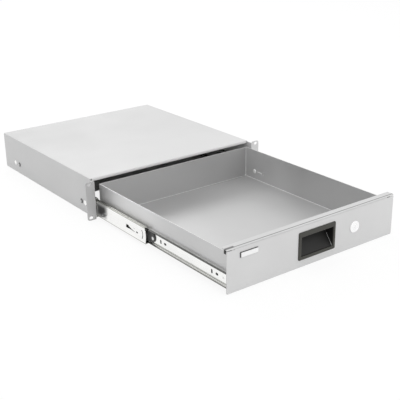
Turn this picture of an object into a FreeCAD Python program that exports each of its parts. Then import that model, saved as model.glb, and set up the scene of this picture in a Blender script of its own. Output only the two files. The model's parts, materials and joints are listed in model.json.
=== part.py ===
"""Two-unit sliding drawer for a 19 inch rack, on ball-bearing telescopic slides.

Frame: X to the right, Y back into the rack, Z up, in millimetres.  The origin is the middle of
the rack hole pattern, on the front face of the rack ears.  The drawer is modelled pulled open.
"""
import FreeCAD
import Part
import math
import os

V = FreeCAD.Vector
RIGHT = 1
LEFT = -1
OVERSHOOT = 1.0

# ---------------------------------------------------------------- rack interface (19 inch, 2U)
EAR_SPAN = 482.6
EAR_HEIGHT = 88.1
RACK_HOLE_SPACING_X = 465.1
RACK_HOLE_SPACING_Z = 76.2
RACK_SLOT_HEIGHT = 6.8
RACK_SLOT_LENGTH = 10.0
EAR_CORNER_RADIUS = 5.0

# ---------------------------------------------------------------- housing sheet metal
HOUSING_WIDTH = 441.0
HOUSING_REAR_ROOM = 5.0
HOUSING_TOP = 43.5
HOUSING_BOTTOM = -44.0
HOUSING_SHEET = 1.5
BEND_RADIUS = 1.0
TOP_SETBACK = 16.0
LIP_DROP = 5.5
LIP_END_GAP = 2.5
EAR_RELIEF = 2.0
EAR_JOIN = 1.0
REAR_FLANGE = 14.0
REAR_FLANGE_GAP = 2.0
REAR_PANEL_SHEET = 1.2
BOTTOM_PLATE_SHEET = 1.2
BOTTOM_PLATE_START = 149.0
BOTTOM_PLATE_FLANGE = 12.0
ACCESS_HOLE_DIAMETER = 9.0
FRONT_ACCESS_HOLE_Y = 46.0
REAR_ACCESS_HOLE_SETBACK = 51.0

# ---------------------------------------------------------------- drawer
PANEL_WIDTH = 432.0
PANEL_HEIGHT = 87.0
PANEL_SHEET = 1.5
PANEL_FLANGE = 16.5
PANEL_CORNER_RADIUS = 2.0
PANEL_SEAM_HEIGHT = 0.7
PANEL_SEAM_DEPTH = 0.9
PANEL_SLIT_HEIGHT = 1.6
PANEL_SLIT_LENGTH = 19.0
TRAY_SHEET = 1.5
TRAY_TOP = 33.0
TRAY_BOTTOM = -41.5
TRAY_BACK_MARGIN = 2.0
TRAY_RELIEF_RADIUS = 1.7
TRAY_SLOT_LENGTH = 8.0
TRAY_SLOT_HEIGHT = 3.5
TRAY_SLOT_SETBACK = 65.0

# ---------------------------------------------------------------- telescopic slides
SLIDE_THICKNESS = 12.7
SLIDE_HEIGHT = 44.0
SLIDE_CENTRE_Z = -20.3
SLIDE_LENGTH = 450.0
SLIDE_FRONT_SETBACK = 3.0
INNER_FRONT_SETBACK = 2.0
SLIDE_SHEET = 1.15
WEB_GAP = 1.0
INTERMEDIATE_SHORTER_BY = 50.0
INTERMEDIATE_SHUT_SETBACK = 35.5
INTERMEDIATE_GROOVE_DEPTH = 1.05
GROOVE_END_ANGLE = 330.0
GROOVE_UNDERSIDE_END_ANGLE = 285.0
WRAP_OUTSIDE_START_ANGLE = 95.0
WRAP_INSIDE_END_ANGLE = 150.0
OUTER_MEMBER_BEND = 2.2
INNER_MEMBER_BEND = 1.6
OUTER_LIP_ANGLE = 20.0
INTERMEDIATE_LIP_ANGLE = 10.0
OUTER_BALL_RADIUS = 1.6
OUTER_BALL_DEPTH = 6.2
INNER_BALL_RADIUS = 1.4
INNER_BALL_DEPTH = 8.6
BALL_ROW_DROP = 3.9
BALL_CLEARANCE = 0.05
INNER_GROOVE_DEPTH = 0.5
INNER_FLANGE_END = 6.4
WEB_CUT_MARGIN = 0.2
TONGUE_REACH = 3.0
TONGUE_RADIUS = 34.0
TONGUE_ANGLE = 20.0
TONGUE_HALF_HEIGHT = 12.0
BOW_SETBACK = 7.0
BOW_RADIUS = 15.0
BOW_ANGLE = 42.0
BOW_WIDTH = 2.2
LATCH_SLOT_LENGTH = 7.0
LATCH_SLOT_HEIGHT = 3.0
LATCH_SLOT_SETBACK = 8.0
LATCH_SLOT_DROP = 2.0
UPRIGHT_SLOT_WIDTH = 4.4
UPRIGHT_SLOT_HEIGHT = 9.0
OVAL_HOLE_LENGTH = 8.0
OVAL_HOLE_HEIGHT = 4.8
CAGE_SHEET = 0.4
CAGE_ARM_PAST_BALL = 1.15
OUTER_CAGE_LENGTH = 180.0
OUTER_CAGE_SETBACK = 9.0
INNER_CAGE_LENGTH = 168.0
INNER_CAGE_SETBACK = 8.0
INNER_CAGE_BRIDGE = 24.0
INNER_CAGE_RIB = 3.4
BALLS_PER_ROW = 4
BALL_END_MARGIN = 14.0

# ---------------------------------------------------------------- release levers
LEVER_PIVOT_AHEAD = 19.0
LEVER_THICKNESS = 2.3
LEVER_GAP = 0.3
LEVER_HALF_HEIGHT = 10.3
LEVER_ARM_HALF_HEIGHT = 3.2
LEVER_TIP_REACH = 15.0
LEVER_BASE_REACH = 20.0
LEVER_NOSE_RADIUS = 2.0
LEVER_NOSE_DROP = 5.0
LEVER_NOSE_HEIGHT = 1.0
LEVER_LOWER_SHOULDER = 4.0
LEVER_UPPER_SHOULDER = 2.0
LEVER_ARM_TAPER = 6.0
LEVER_HOOK_REACH = 89.0
LEVER_HOOK_LENGTH = 6.0
LEVER_HOOK_HEIGHT = 3.4
LEVER_PIN_RADIUS = 2.0
LEVER_PIN_CLEARANCE = 0.1
LEVER_PIN_HEAD_RADIUS = 3.6
LEVER_PIN_HEAD = 0.7
STOP_TAB_LENGTH = 32.0
STOP_TAB_HEIGHT = 6.0
STOP_TAB_RISE = 3.6
STOP_TAB_ROOT = 0.5
STOP_WINDOW_MARGIN = 0.8
STOP_WINDOW_AHEAD = 1.5
STOP_GAP = 0.3

# ---------------------------------------------------------------- recessed pull
PULL_X = 3.0
PULL_WIDTH = 96.0
PULL_HEIGHT = 57.0
PULL_BEZEL = 2.4
PULL_BEZEL_CHAMFER = 1.0
PULL_SIDE_BAND = 6.0
PULL_TOP_BAND = 9.5
PULL_BOTTOM_BAND = 7.0
PULL_DEPTH = 27.0
PULL_WALL = 2.0
PULL_BACK_HEIGHT = 9.0
PULL_STEP = 1.0
PULL_CORNER_RADIUS = 3.5
PULL_CUT_CLEARANCE = 0.3
PULL_CUT_CORNER = 1.0
PULL_CLIP_WIDTH = 14.0
PULL_CLIP_RISE = 1.4
PULL_CLIP_LENGTH = 4.0
PULL_CLIP_LAND = 1.0
PULL_CLIP_DROP = 4.0

# ---------------------------------------------------------------- blank plate on the panel
PLATE_X = -164.8
PLATE_Z = 25.2
PLATE_WIDTH = 39.6
PLATE_HEIGHT = 9.0
PLATE_THICKNESS = 2.0
PLATE_CORNER_RADIUS = 1.2
PLATE_EDGE_RADIUS = 0.5

# ---------------------------------------------------------------- cam lock
LOCK_X = 104.0
LOCK_Z = 2.5
LOCK_FACE_RADIUS = 12.2
LOCK_FACE = 3.0
LOCK_BARREL_RADIUS = 9.4
LOCK_BARREL_LENGTH = 19.5
LOCK_BARREL_FLAT = 16.0
LOCK_HOLE_CLEARANCE = 0.1
LOCK_FACE_CHAMFER = 0.8
LOCK_PLUG_RADIUS = 6.2
LOCK_PLUG_CLEARANCE = 0.1
LOCK_TAIL_HALF_WIDTH = 3.4
LOCK_NUT_ACROSS_FLATS = 24.0
LOCK_NUT_THICKNESS = 4.0
KEYWAY_WIDTH = 1.8
KEYWAY_HEIGHT = 8.0
KEYWAY_DEPTH = 14.0
CAM_REACH = 38.0
CAM_WIDTH = 14.0
CAM_SHEET = 2.5
CAM_HOLE_CLEARANCE = 0.1
CAM_SCREW_RADIUS = 2.0
CAM_SCREW_HEAD_RADIUS = 4.6
CAM_SCREW_HEAD = 2.0
CAM_SCREW_LENGTH = 5.0
CAM_GAP = 0.3
CAM_CLAMP_GAP = 0.1
CAM_TIP_HALF = 5.0
CAM_TIP_RADIUS = 3.0

# ---------------------------------------------------------------- fasteners and buffers
SCREW_RADIUS = 2.0
SCREW_HOLE_CLEARANCE = 0.1
SCREW_HEAD_RADIUS = 4.0
SCREW_HEAD_HEIGHT = 2.4
SCREW_HEAD_ROUND = 1.2
SCREW_RECESS_WIDTH = 1.0
SCREW_RECESS_LENGTH = 4.8
SCREW_RECESS_DEPTH = 1.2
HOUSING_SCREW_SETBACKS = (59.0, 74.0)
TRAY_SCREW_SETBACKS = (19.0, 35.0)
SLOT_PAIR_SETBACKS = (52.5, 23.5)
SLOT_PAIR_PITCH = 15.0
STUD_X = 165.0
STUD_ZS = (-28.0, 20.0)
STUD_LENGTH = 7.0
STUD_ROOT = 0.5
NUT_ACROSS_FLATS = 7.0
NUT_THICKNESS = 3.2
TOP_RIVET_XS = (-140.0, 0.0, 140.0)
SIDE_RIVET_ZS = (8.0, 26.0)
BOTTOM_RIVET_XS = (-120.0, 120.0)
BOTTOM_RIVET_RISE = 7.0
RIVET_RADIUS = 1.6
RIVET_HEAD_RADIUS = 3.3
RIVET_HEAD = 0.9
RIVET_CROWN_RADIUS = 2.0
RIVET_TAIL_RADIUS = 2.4
RIVET_TAIL = 1.6
RIVET_TAIL_BULGE = 0.65
RIVET_HOLE_CLEARANCE = 0.1
BUFFER_WIDTH = 6.4
BUFFER_HEIGHT = 11.0
BUFFER_GRIP = 4.0
BUFFER_CROWN_RADIUS = 2.5
BUFFER_SLOT_CLEARANCE = 0.1
REAR_BUMPER_LENGTH = 6.0
REAR_BUMPER_HALF_HEIGHT = 7.0
REAR_BUMPER_DEPTH = 9.5
REAR_BUMPER_CORNER = 1.5
THREAD_CLEARANCE = 0.05
CONTACT_GAP = 0.3

# ---------------------------------------------------------------- derived places
WALL_OUT = HOUSING_WIDTH / 2
WALL_IN = WALL_OUT - HOUSING_SHEET
OUTER_BEND = BEND_RADIUS + HOUSING_SHEET
TRAY_OUT = WALL_IN - SLIDE_THICKNESS
TRAY_IN = TRAY_OUT - TRAY_SHEET
TRAVEL = SLIDE_LENGTH - SLIDE_FRONT_SETBACK
HOUSING_DEPTH = SLIDE_FRONT_SETBACK + SLIDE_LENGTH + HOUSING_REAR_ROOM
PANEL_BACK = -TRAVEL
PANEL_FACE = PANEL_BACK - PANEL_SHEET
PANEL_TOP = PANEL_HEIGHT / 2
TRAY_BACK = PANEL_BACK + SLIDE_LENGTH + TRAY_BACK_MARGIN
LIP_FRONT = TOP_SETBACK
OUTER_BALL_V = SLIDE_HEIGHT / 2 - SLIDE_SHEET - OUTER_BALL_RADIUS - BALL_CLEARANCE
INNER_BALL_V = OUTER_BALL_V - BALL_ROW_DROP
INTERMEDIATE_WEB = SLIDE_SHEET + WEB_GAP
INTERMEDIATE_WEB_IN = INTERMEDIATE_WEB + SLIDE_SHEET
OUTER_GROOVE = OUTER_BALL_RADIUS + BALL_CLEARANCE
INNER_GROOVE = INNER_BALL_RADIUS + BALL_CLEARANCE
INTERMEDIATE_TOP = OUTER_BALL_V - OUTER_GROOVE + INTERMEDIATE_GROOVE_DEPTH
INNER_WEB = SLIDE_THICKNESS - SLIDE_SHEET
INNER_TOP = INNER_BALL_V - INNER_GROOVE + INNER_GROOVE_DEPTH
INNER_FRONT_Y = PANEL_BACK + INNER_FRONT_SETBACK
INNER_LENGTH = SLIDE_LENGTH - INNER_FRONT_SETBACK
INTERMEDIATE_LENGTH = SLIDE_LENGTH - INTERMEDIATE_SHORTER_BY
INTERMEDIATE_FRONT_Y = INTERMEDIATE_SHUT_SETBACK - TRAVEL / 2
OUTER_CAGE_FRONT_Y = SLIDE_FRONT_SETBACK + OUTER_CAGE_SETBACK
INNER_CAGE_FRONT_Y = INTERMEDIATE_FRONT_Y + INNER_CAGE_SETBACK
LEVER_PIVOT_Y = INTERMEDIATE_FRONT_Y - LEVER_PIVOT_AHEAD
LEVER_HOOK_Y = LEVER_PIVOT_Y + LEVER_HOOK_REACH
REAR_SCREW_Y = SLIDE_FRONT_SETBACK + SLIDE_LENGTH - HOUSING_SCREW_SETBACKS[1]
HOUSING_SCREW_YS = (SLIDE_FRONT_SETBACK + HOUSING_SCREW_SETBACKS[0], REAR_SCREW_Y)
REAR_ACCESS_HOLE_Y = SLIDE_FRONT_SETBACK + SLIDE_LENGTH - REAR_ACCESS_HOLE_SETBACK
TRAY_SCREW_YS = (PANEL_BACK + TRAY_SCREW_SETBACKS[0], TRAY_BACK - TRAY_SCREW_SETBACKS[1])
TRAY_SLOT_Y = TRAY_BACK - TRAY_SLOT_SETBACK
SLOT_PAIR_YS = (PANEL_BACK + SLOT_PAIR_SETBACKS[0], LEVER_PIVOT_Y - SLOT_PAIR_SETBACKS[1])
LOCK_FRONT = PANEL_FACE - LOCK_FACE
LOCK_REAR = PANEL_FACE + LOCK_BARREL_LENGTH
CAM_FRONT = LOCK_REAR + CAM_GAP
CAM_BACK = CAM_FRONT + CAM_SHEET


# ---------------------------------------------------------------- general helpers
def box(x, y, z):
    """Box from three (low, high) ranges."""
    corner = V(min(x), min(y), min(z))
    return Part.makeBox(max(x) - min(x), max(y) - min(y), max(z) - min(z), corner)


def cylinder(radius, start, end):
    """Solid cylinder between two points."""
    axis = end.sub(start)
    return Part.makeCylinder(radius, axis.Length, start, axis)


def mirrored(shape):
    """The other hand of a right-hand piece."""
    return shape.mirror(V(0, 0, 0), V(1, 0, 0))


def export(name, *solids):
    """Write one node, as one solid or as a group of separate solids."""
    shape = solids[0] if len(solids) == 1 else Part.makeCompound(list(solids))
    shape.exportStep("parts/" + name + ".step")


def export_pair(name, solid):
    """Write a right-hand piece and its mirror image as two nodes."""
    export(name + "_right", solid)
    export(name + "_left", mirrored(solid))


def polar(centre, radius, angle):
    """Point of a circle, the angle in degrees."""
    turn = math.radians(angle)
    return (centre[0] + radius * math.cos(turn), centre[1] + radius * math.sin(turn))


def plan_at(z):
    """Place outline items given as (x, y) at one height."""
    return lambda a, b: V(a, b, z)


def front_at(y):
    """Place outline items given as (x, z) at one depth."""
    return lambda a, b: V(a, y, b)


def side_at(x):
    """Place outline items given as (y, z) at one width."""
    return lambda a, b: V(x, a, b)


def outline(items, place):
    """Closed wire of corner points (a, b) and arcs (centre, radius, start, end), run in order.

    The ends of neighbouring items are joined by straight runs, and place(a, b) gives the point
    in space.
    """
    edges = []
    first = None
    last = None
    for item in items:
        arc = len(item) == 4
        begin = polar(item[0], item[1], item[2]) if arc else item
        finish = polar(item[0], item[1], item[3]) if arc else item
        if last is not None and math.dist(last, begin) > 1e-6:
            edges.append(Part.makeLine(place(*last), place(*begin)))
        if arc:
            middle = polar(item[0], item[1], (item[2] + item[3]) / 2)
            edges.append(Part.Arc(place(*begin), place(*middle), place(*finish)).toShape())
        first = begin if first is None else first
        last = finish
    if math.dist(last, first) > 1e-6:
        edges.append(Part.makeLine(place(*last), place(*first)))
    return Part.Wire(edges)


def prism(items, place, along):
    """Solid swept from an outline along a vector."""
    return Part.Face(outline(items, place)).extrude(along)


def both_halves(upper):
    """Close a channel section whose upper half runs from outside to inside of its web."""
    lower = []
    for item in reversed(upper):
        if len(item) == 4:
            centre, radius, start, end = item
            lower.append(((centre[0], -centre[1]), radius, -end, -start))
        else:
            lower.append((item[0], -item[1]))
    return upper + lower


def rounded_rectangle(low_a, high_a, low_b, high_b, radius):
    """Outline items of a rectangle with round corners."""
    return [
        ((high_a - radius, high_b - radius), radius, 90, 0),
        ((high_a - radius, low_b + radius), radius, 0, -90),
        ((low_a + radius, low_b + radius), radius, -90, -180),
        ((low_a + radius, high_b - radius), radius, -180, -270),
    ]


def slot(half_length, half_width, centre):
    """Outline items of a straight slot whose long way is the first axis."""
    a, b = centre
    reach = half_length - half_width
    return [((a + reach, b), half_width, 90, -90), ((a - reach, b), half_width, -90, -270)]


def hexagon(across_flats, centre):
    """Outline items of a hexagon."""
    return [polar(centre, across_flats / math.sqrt(3), angle) for angle in range(0, 360, 60)]


# ---------------------------------------------------------------- fasteners
def pan_screw(seat, direction, grip):
    """Pan-head screw: its head stands on the seat towards -direction, its shank goes along it."""
    head_top = seat.sub(direction * SCREW_HEAD_HEIGHT)
    head = cylinder(SCREW_HEAD_RADIUS, head_top, seat)
    rim = [edge for edge in head.Edges if edge.CenterOfMass.distanceToPoint(head_top) < 0.01]
    head = head.makeFillet(SCREW_HEAD_ROUND, rim[:1])
    across = V(0, 0, 1)
    other = direction.cross(across)
    for long_way, short_way in ((across, other), (other, across)):
        half_long = long_way * (SCREW_RECESS_LENGTH / 2)
        half_short = short_way * (SCREW_RECESS_WIDTH / 2)
        corners = []
        for a, b in ((1, 1), (1, -1), (-1, -1), (-1, 1)):
            corners.append(head_top.add(half_long * a).add(half_short * b))
        face = Part.Face(Part.makePolygon(corners + corners[:1]))
        head = head.cut(face.extrude(direction * SCREW_RECESS_DEPTH))
    return head.fuse(cylinder(SCREW_RADIUS, seat, seat.add(direction * grip))).removeSplitter()


def screw_hole(seat, direction, depth):
    """Clearance hole for a screw."""
    radius = SCREW_RADIUS + SCREW_HOLE_CLEARANCE
    return cylinder(radius, seat, seat.add(direction * depth))


def rivet(x, z, grip):
    """Blind rivet through the rear panel, its flat dome behind and its tail inside."""
    back = HOUSING_DEPTH + REAR_PANEL_SHEET
    front = back - grip
    items = [
        (x, back + RIVET_HEAD),
        (x + RIVET_CROWN_RADIUS, back + RIVET_HEAD),
        (x + RIVET_HEAD_RADIUS, back),
        (x + RIVET_RADIUS, back),
        (x + RIVET_RADIUS, front),
        (x + RIVET_TAIL_RADIUS, front - RIVET_TAIL_BULGE),
        (x + RIVET_RADIUS, front - RIVET_TAIL),
        (x, front - RIVET_TAIL),
    ]
    return Part.Face(outline(items, plan_at(z))).revolve(V(x, 0, z), V(0, 1, 0), 360)


# ---------------------------------------------------------------- housing
def ear_and_wall():
    """Right side wall with its bend and rack ear, one folded sheet."""
    bend_end = WALL_IN + OUTER_BEND
    plan = [
        (WALL_IN, HOUSING_DEPTH),
        ((bend_end, OUTER_BEND), OUTER_BEND, 180, 270),
        (bend_end + EAR_JOIN, 0),
        (bend_end + EAR_JOIN, HOUSING_SHEET),
        ((bend_end, OUTER_BEND), BEND_RADIUS, 270, 180),
        (WALL_OUT, HOUSING_DEPTH),
    ]
    low = HOUSING_BOTTOM
    high = HOUSING_TOP - OUTER_BEND
    wall = prism(plan, plan_at(low), V(0, 0, high - low))
    relief_z = (low - OVERSHOOT, low + EAR_RELIEF)
    wall = wall.cut(box((WALL_IN, bend_end + EAR_JOIN), (-OVERSHOOT, OUTER_BEND), relief_z))
    half = EAR_HEIGHT / 2
    plate = rounded_rectangle(bend_end, EAR_SPAN / 2, -half, half, EAR_CORNER_RADIUS)
    plate[2] = (bend_end, -half)
    plate[3] = (bend_end, half)
    ear = prism(plate, front_at(0), V(0, HOUSING_SHEET, 0))
    return wall.fuse(ear)


def rack_slots():
    """The four slots of the rack pattern, as cutters."""
    cutters = []
    for x in (-RACK_HOLE_SPACING_X / 2, RACK_HOLE_SPACING_X / 2):
        for z in (-RACK_HOLE_SPACING_Z / 2, RACK_HOLE_SPACING_Z / 2):
            items = slot(RACK_SLOT_LENGTH / 2, RACK_SLOT_HEIGHT / 2, (x, z))
            cutters.append(prism(items, front_at(-OVERSHOOT), V(0, HOUSING_SHEET + 2 * OVERSHOOT, 0)))
    return cutters


def housing_shell():
    """Top, side walls, ears, front lip and rear flanges, folded from one sheet."""
    top = HOUSING_TOP
    bend = OUTER_BEND
    right = ear_and_wall()
    section = [
        (WALL_IN, top - bend),
        (WALL_OUT, top - bend),
        ((WALL_OUT - bend, top - bend), bend, 0, 90),
        ((bend - WALL_OUT, top - bend), bend, 90, 180),
        (-WALL_IN, top - bend),
        ((bend - WALL_OUT, top - bend), BEND_RADIUS, 180, 90),
        ((WALL_OUT - bend, top - bend), BEND_RADIUS, 90, 0),
    ]
    start = TOP_SETBACK + bend
    roof = prism(section, front_at(start), V(0, HOUSING_DEPTH - start, 0))
    inner_top = top - HOUSING_SHEET
    centre = (TOP_SETBACK + bend, top - bend)
    lip_profile = [
        (start, inner_top),
        (centre, BEND_RADIUS, 90, 180),
        (TOP_SETBACK + HOUSING_SHEET, top - LIP_DROP),
        (TOP_SETBACK, top - LIP_DROP),
        (centre, bend, 180, 90),
    ]
    lip_end = WALL_IN - LIP_END_GAP
    lip = prism(lip_profile, side_at(-lip_end), V(2 * lip_end, 0, 0))
    shell = right.fuse([mirrored(right), roof, lip])
    back = (HOUSING_DEPTH - HOUSING_SHEET, HOUSING_DEPTH)
    reach = WALL_IN - REAR_FLANGE
    for side in (LEFT, RIGHT):
        z = (HOUSING_BOTTOM + BOTTOM_PLATE_FLANGE + REAR_FLANGE_GAP, inner_top)
        shell = shell.fuse(box((side * reach, side * WALL_IN), back, z))
    shell = shell.fuse(box((-reach, reach), back, (inner_top - REAR_FLANGE, inner_top)))
    shell = shell.cut(rack_slots())
    outside = WALL_OUT + OVERSHOOT
    through = HOUSING_SHEET + 2 * OVERSHOOT
    holes = []
    for y in HOUSING_SCREW_YS:
        holes.append(screw_hole(V(outside, y, SLIDE_CENTRE_Z), V(-1, 0, 0), through))
    for y in (FRONT_ACCESS_HOLE_Y, REAR_ACCESS_HOLE_Y):
        ends = (V(outside, y, SLIDE_CENTRE_Z), V(outside - through, y, SLIDE_CENTRE_Z))
        holes.append(cylinder(ACCESS_HOLE_DIAMETER / 2, *ends))
    shell = shell.cut(holes + [mirrored(hole) for hole in holes] + rivet_holes())
    return shell.removeSplitter()


def rivet_places():
    """Rear panel rivets as (x, z, grip), the grip being what each one clamps."""
    flange_z = HOUSING_TOP - HOUSING_SHEET - REAR_FLANGE / 2
    side_x = WALL_IN - REAR_FLANGE / 2
    plate_z = HOUSING_BOTTOM + BOTTOM_RIVET_RISE
    grip = REAR_PANEL_SHEET + HOUSING_SHEET
    places = [(x, flange_z, grip) for x in TOP_RIVET_XS]
    places += [(side * side_x, z, grip) for side in (LEFT, RIGHT) for z in SIDE_RIVET_ZS]
    places += [(x, plate_z, REAR_PANEL_SHEET + BOTTOM_PLATE_SHEET) for x in BOTTOM_RIVET_XS]
    return places


def rivet_holes():
    """Holes for the rear panel rivets, as cutters."""
    radius = RIVET_RADIUS + RIVET_HOLE_CLEARANCE
    cutters = []
    for x, z, grip in rivet_places():
        back = HOUSING_DEPTH + REAR_PANEL_SHEET
        ends = (V(x, back + OVERSHOOT, z), V(x, back - grip - OVERSHOOT, z))
        cutters.append(cylinder(radius, *ends))
    return cutters


def rear_panel():
    """Flat closing sheet behind the housing."""
    items = rounded_rectangle(-WALL_OUT, WALL_OUT, HOUSING_BOTTOM, HOUSING_TOP, OUTER_BEND)
    panel = prism(items, front_at(HOUSING_DEPTH), V(0, REAR_PANEL_SHEET, 0))
    return panel.cut(rivet_holes())


def bottom_plate():
    """Floor of the rear two thirds of the housing, with a turned-up rear flange."""
    bend = BEND_RADIUS + BOTTOM_PLATE_SHEET
    low = HOUSING_BOTTOM
    centre = (HOUSING_DEPTH - bend, low + bend)
    profile = [
        (BOTTOM_PLATE_START, low + BOTTOM_PLATE_SHEET),
        (centre, BEND_RADIUS, 270, 360),
        (HOUSING_DEPTH - BOTTOM_PLATE_SHEET, low + BOTTOM_PLATE_FLANGE),
        (HOUSING_DEPTH, low + BOTTOM_PLATE_FLANGE),
        (centre, bend, 360, 270),
        (BOTTOM_PLATE_START, low),
    ]
    plate = prism(profile, side_at(-WALL_IN), V(2 * WALL_IN, 0, 0))
    return plate.cut(rivet_holes())


# ---------------------------------------------------------------- telescopic slides (right hand)
def slide_point(y):
    """Place a slide section point: u inwards from the housing wall, v up from the centre."""
    return lambda u, v: V(WALL_IN - u, y, SLIDE_CENTRE_Z + v)


def web_cutter(items, u_from, u_to):
    """Cutter through a slide web from an outline in (y, v)."""
    place = lambda a, b: V(WALL_IN - u_from, a, SLIDE_CENTRE_Z + b)
    return prism(items, place, V(u_from - u_to, 0, 0))


def outer_member():
    """Cabinet member: a channel whose lips wrap the outer balls."""
    ball = (OUTER_BALL_DEPTH, OUTER_BALL_V)
    corner = (OUTER_MEMBER_BEND, SLIDE_HEIGHT / 2 - OUTER_MEMBER_BEND)
    upper = [
        (corner, OUTER_MEMBER_BEND, 180, 90),
        (ball, OUTER_GROOVE + SLIDE_SHEET, 90, OUTER_LIP_ANGLE),
        (ball, OUTER_GROOVE, OUTER_LIP_ANGLE, 90),
        (corner, OUTER_MEMBER_BEND - SLIDE_SHEET, 90, 180),
    ]
    place = slide_point(SLIDE_FRONT_SETBACK)
    member = prism(both_halves(upper), place, V(0, SLIDE_LENGTH, 0))
    depth = SLIDE_SHEET + 2 * OVERSHOOT
    for y in HOUSING_SCREW_YS:
        member = member.cut(screw_hole(slide_point(y)(-OVERSHOOT, 0), V(-1, 0, 0), depth))
    return member


def intermediate_member():
    """Middle member: outer grooves outside, lips round the inner balls, and the stop tab."""
    outer_ball = (OUTER_BALL_DEPTH, OUTER_BALL_V)
    inner_ball = (INNER_BALL_DEPTH, INNER_BALL_V)
    sheet = SLIDE_SHEET
    bend = INNER_MEMBER_BEND
    dip = math.degrees(math.asin((OUTER_BALL_V - INTERMEDIATE_TOP) / OUTER_GROOVE))
    under = OUTER_GROOVE + sheet
    under_dip = math.degrees(math.asin((OUTER_BALL_V - INTERMEDIATE_TOP + sheet) / under))
    corner = (INTERMEDIATE_WEB + bend, INTERMEDIATE_TOP - bend)
    lip = INTERMEDIATE_LIP_ANGLE
    upper = [
        (corner, bend, 180, 90),
        (outer_ball, OUTER_GROOVE, 180 + dip, GROOVE_END_ANGLE),
        (inner_ball, INNER_GROOVE + sheet, WRAP_OUTSIDE_START_ANGLE, lip),
        (inner_ball, INNER_GROOVE, lip, WRAP_INSIDE_END_ANGLE),
        (outer_ball, under, GROOVE_UNDERSIDE_END_ANGLE, 180 + under_dip),
        (corner, bend - sheet, 90, 180),
    ]
    place = slide_point(INTERMEDIATE_FRONT_Y)
    member = prism(both_halves(upper), place, V(0, INTERMEDIATE_LENGTH, 0))
    return finish_intermediate(member)


def finish_intermediate(member):
    """Add the rounded front tongue and the stop tab, and cut the web's openings."""
    front = INTERMEDIATE_FRONT_Y
    web = (INTERMEDIATE_WEB, INTERMEDIATE_WEB_IN)
    tongue_centre = (front - TONGUE_REACH + TONGUE_RADIUS, 0)
    tongue = [
        (front + OVERSHOOT, TONGUE_HALF_HEIGHT),
        (tongue_centre, TONGUE_RADIUS, 180 - TONGUE_ANGLE, 180 + TONGUE_ANGLE),
        (front + OVERSHOOT, -TONGUE_HALF_HEIGHT),
    ]
    member = member.fuse(web_cutter(tongue, *web))
    through = (INTERMEDIATE_WEB - WEB_CUT_MARGIN, INTERMEDIATE_WEB_IN + WEB_CUT_MARGIN)
    tab_end = LEVER_HOOK_Y - STOP_GAP
    tab_start = tab_end - STOP_TAB_LENGTH
    half = STOP_TAB_HEIGHT / 2
    margin = STOP_WINDOW_MARGIN
    window_end = tab_end + STOP_WINDOW_AHEAD
    window = rounded_rectangle(tab_start, window_end, -half - margin, half + margin, margin)
    bow = BOW_RADIUS
    bow_centre = (front + BOW_SETBACK + bow, 0)
    bow_slot = [
        (bow_centre, bow, 180 - BOW_ANGLE, 180 + BOW_ANGLE),
        (bow_centre, bow - BOW_WIDTH, 180 + BOW_ANGLE, 180 - BOW_ANGLE),
    ]
    latch_centre = (tab_start - LATCH_SLOT_SETBACK, -LATCH_SLOT_DROP)
    latch_slot = slot(LATCH_SLOT_LENGTH / 2, LATCH_SLOT_HEIGHT / 2, latch_centre)
    for items in (window, bow_slot, latch_slot):
        member = member.cut(web_cutter(items, *through))
    ramp = [
        (tab_start - STOP_TAB_ROOT, INTERMEDIATE_WEB),
        (tab_start - STOP_TAB_ROOT, INTERMEDIATE_WEB_IN),
        (tab_start, INTERMEDIATE_WEB_IN),
        (tab_end, INTERMEDIATE_WEB_IN + STOP_TAB_RISE),
        (tab_end, INTERMEDIATE_WEB + STOP_TAB_RISE),
        (tab_start, INTERMEDIATE_WEB),
    ]
    tab = prism(ramp, lambda a, b: V(WALL_IN - b, a, SLIDE_CENTRE_Z - half), V(0, 0, 2 * half))
    return member.fuse(tab).removeSplitter()


def inner_member():
    """Drawer member: a channel turned to the wall, grooved outside for the inner balls."""
    ball = (INNER_BALL_DEPTH, INNER_BALL_V)
    sheet = SLIDE_SHEET
    bend = INNER_MEMBER_BEND
    dip = math.degrees(math.asin((INNER_BALL_V - INNER_TOP) / INNER_GROOVE))
    under = INNER_GROOVE + sheet
    under_dip = math.degrees(math.asin((INNER_BALL_V - INNER_TOP + sheet) / under))
    corner = (SLIDE_THICKNESS - bend, INNER_TOP - bend)
    upper = [
        (corner, bend, 0, 90),
        (ball, INNER_GROOVE, 360 - dip, 180 + dip),
        (INNER_FLANGE_END, INNER_TOP),
        (INNER_FLANGE_END, INNER_TOP - sheet),
        (ball, under, 180 + under_dip, 360 - under_dip),
        (corner, bend - sheet, 90, 0),
    ]
    member = prism(both_halves(upper), slide_point(INNER_FRONT_Y), V(0, INNER_LENGTH, 0))
    through = (INNER_WEB - OVERSHOOT, SLIDE_THICKNESS + OVERSHOOT)
    half_width = UPRIGHT_SLOT_WIDTH / 2
    half_height = UPRIGHT_SLOT_HEIGHT / 2
    for y in SLOT_PAIR_YS:
        sides = (y - half_width, y + half_width, -half_height, half_height)
        upright = rounded_rectangle(*sides, half_width)
        oval = slot(OVAL_HOLE_LENGTH / 2, OVAL_HOLE_HEIGHT / 2, (y - SLOT_PAIR_PITCH, 0))
        for items in (upright, oval):
            member = member.cut(web_cutter(items, *through))
    depth = SLIDE_SHEET + 2 * OVERSHOOT
    for y in TRAY_SCREW_YS:
        member = member.cut(screw_hole(V(TRAY_OUT - OVERSHOOT, y, SLIDE_CENTRE_Z), V(1, 0, 0), depth))
    return member


def ball_ys(front, length):
    """Places of the balls of one row along a cage."""
    run = length - 2 * BALL_END_MARGIN
    return [front + BALL_END_MARGIN + run * n / (BALLS_PER_ROW - 1) for n in range(BALLS_PER_ROW)]


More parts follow.
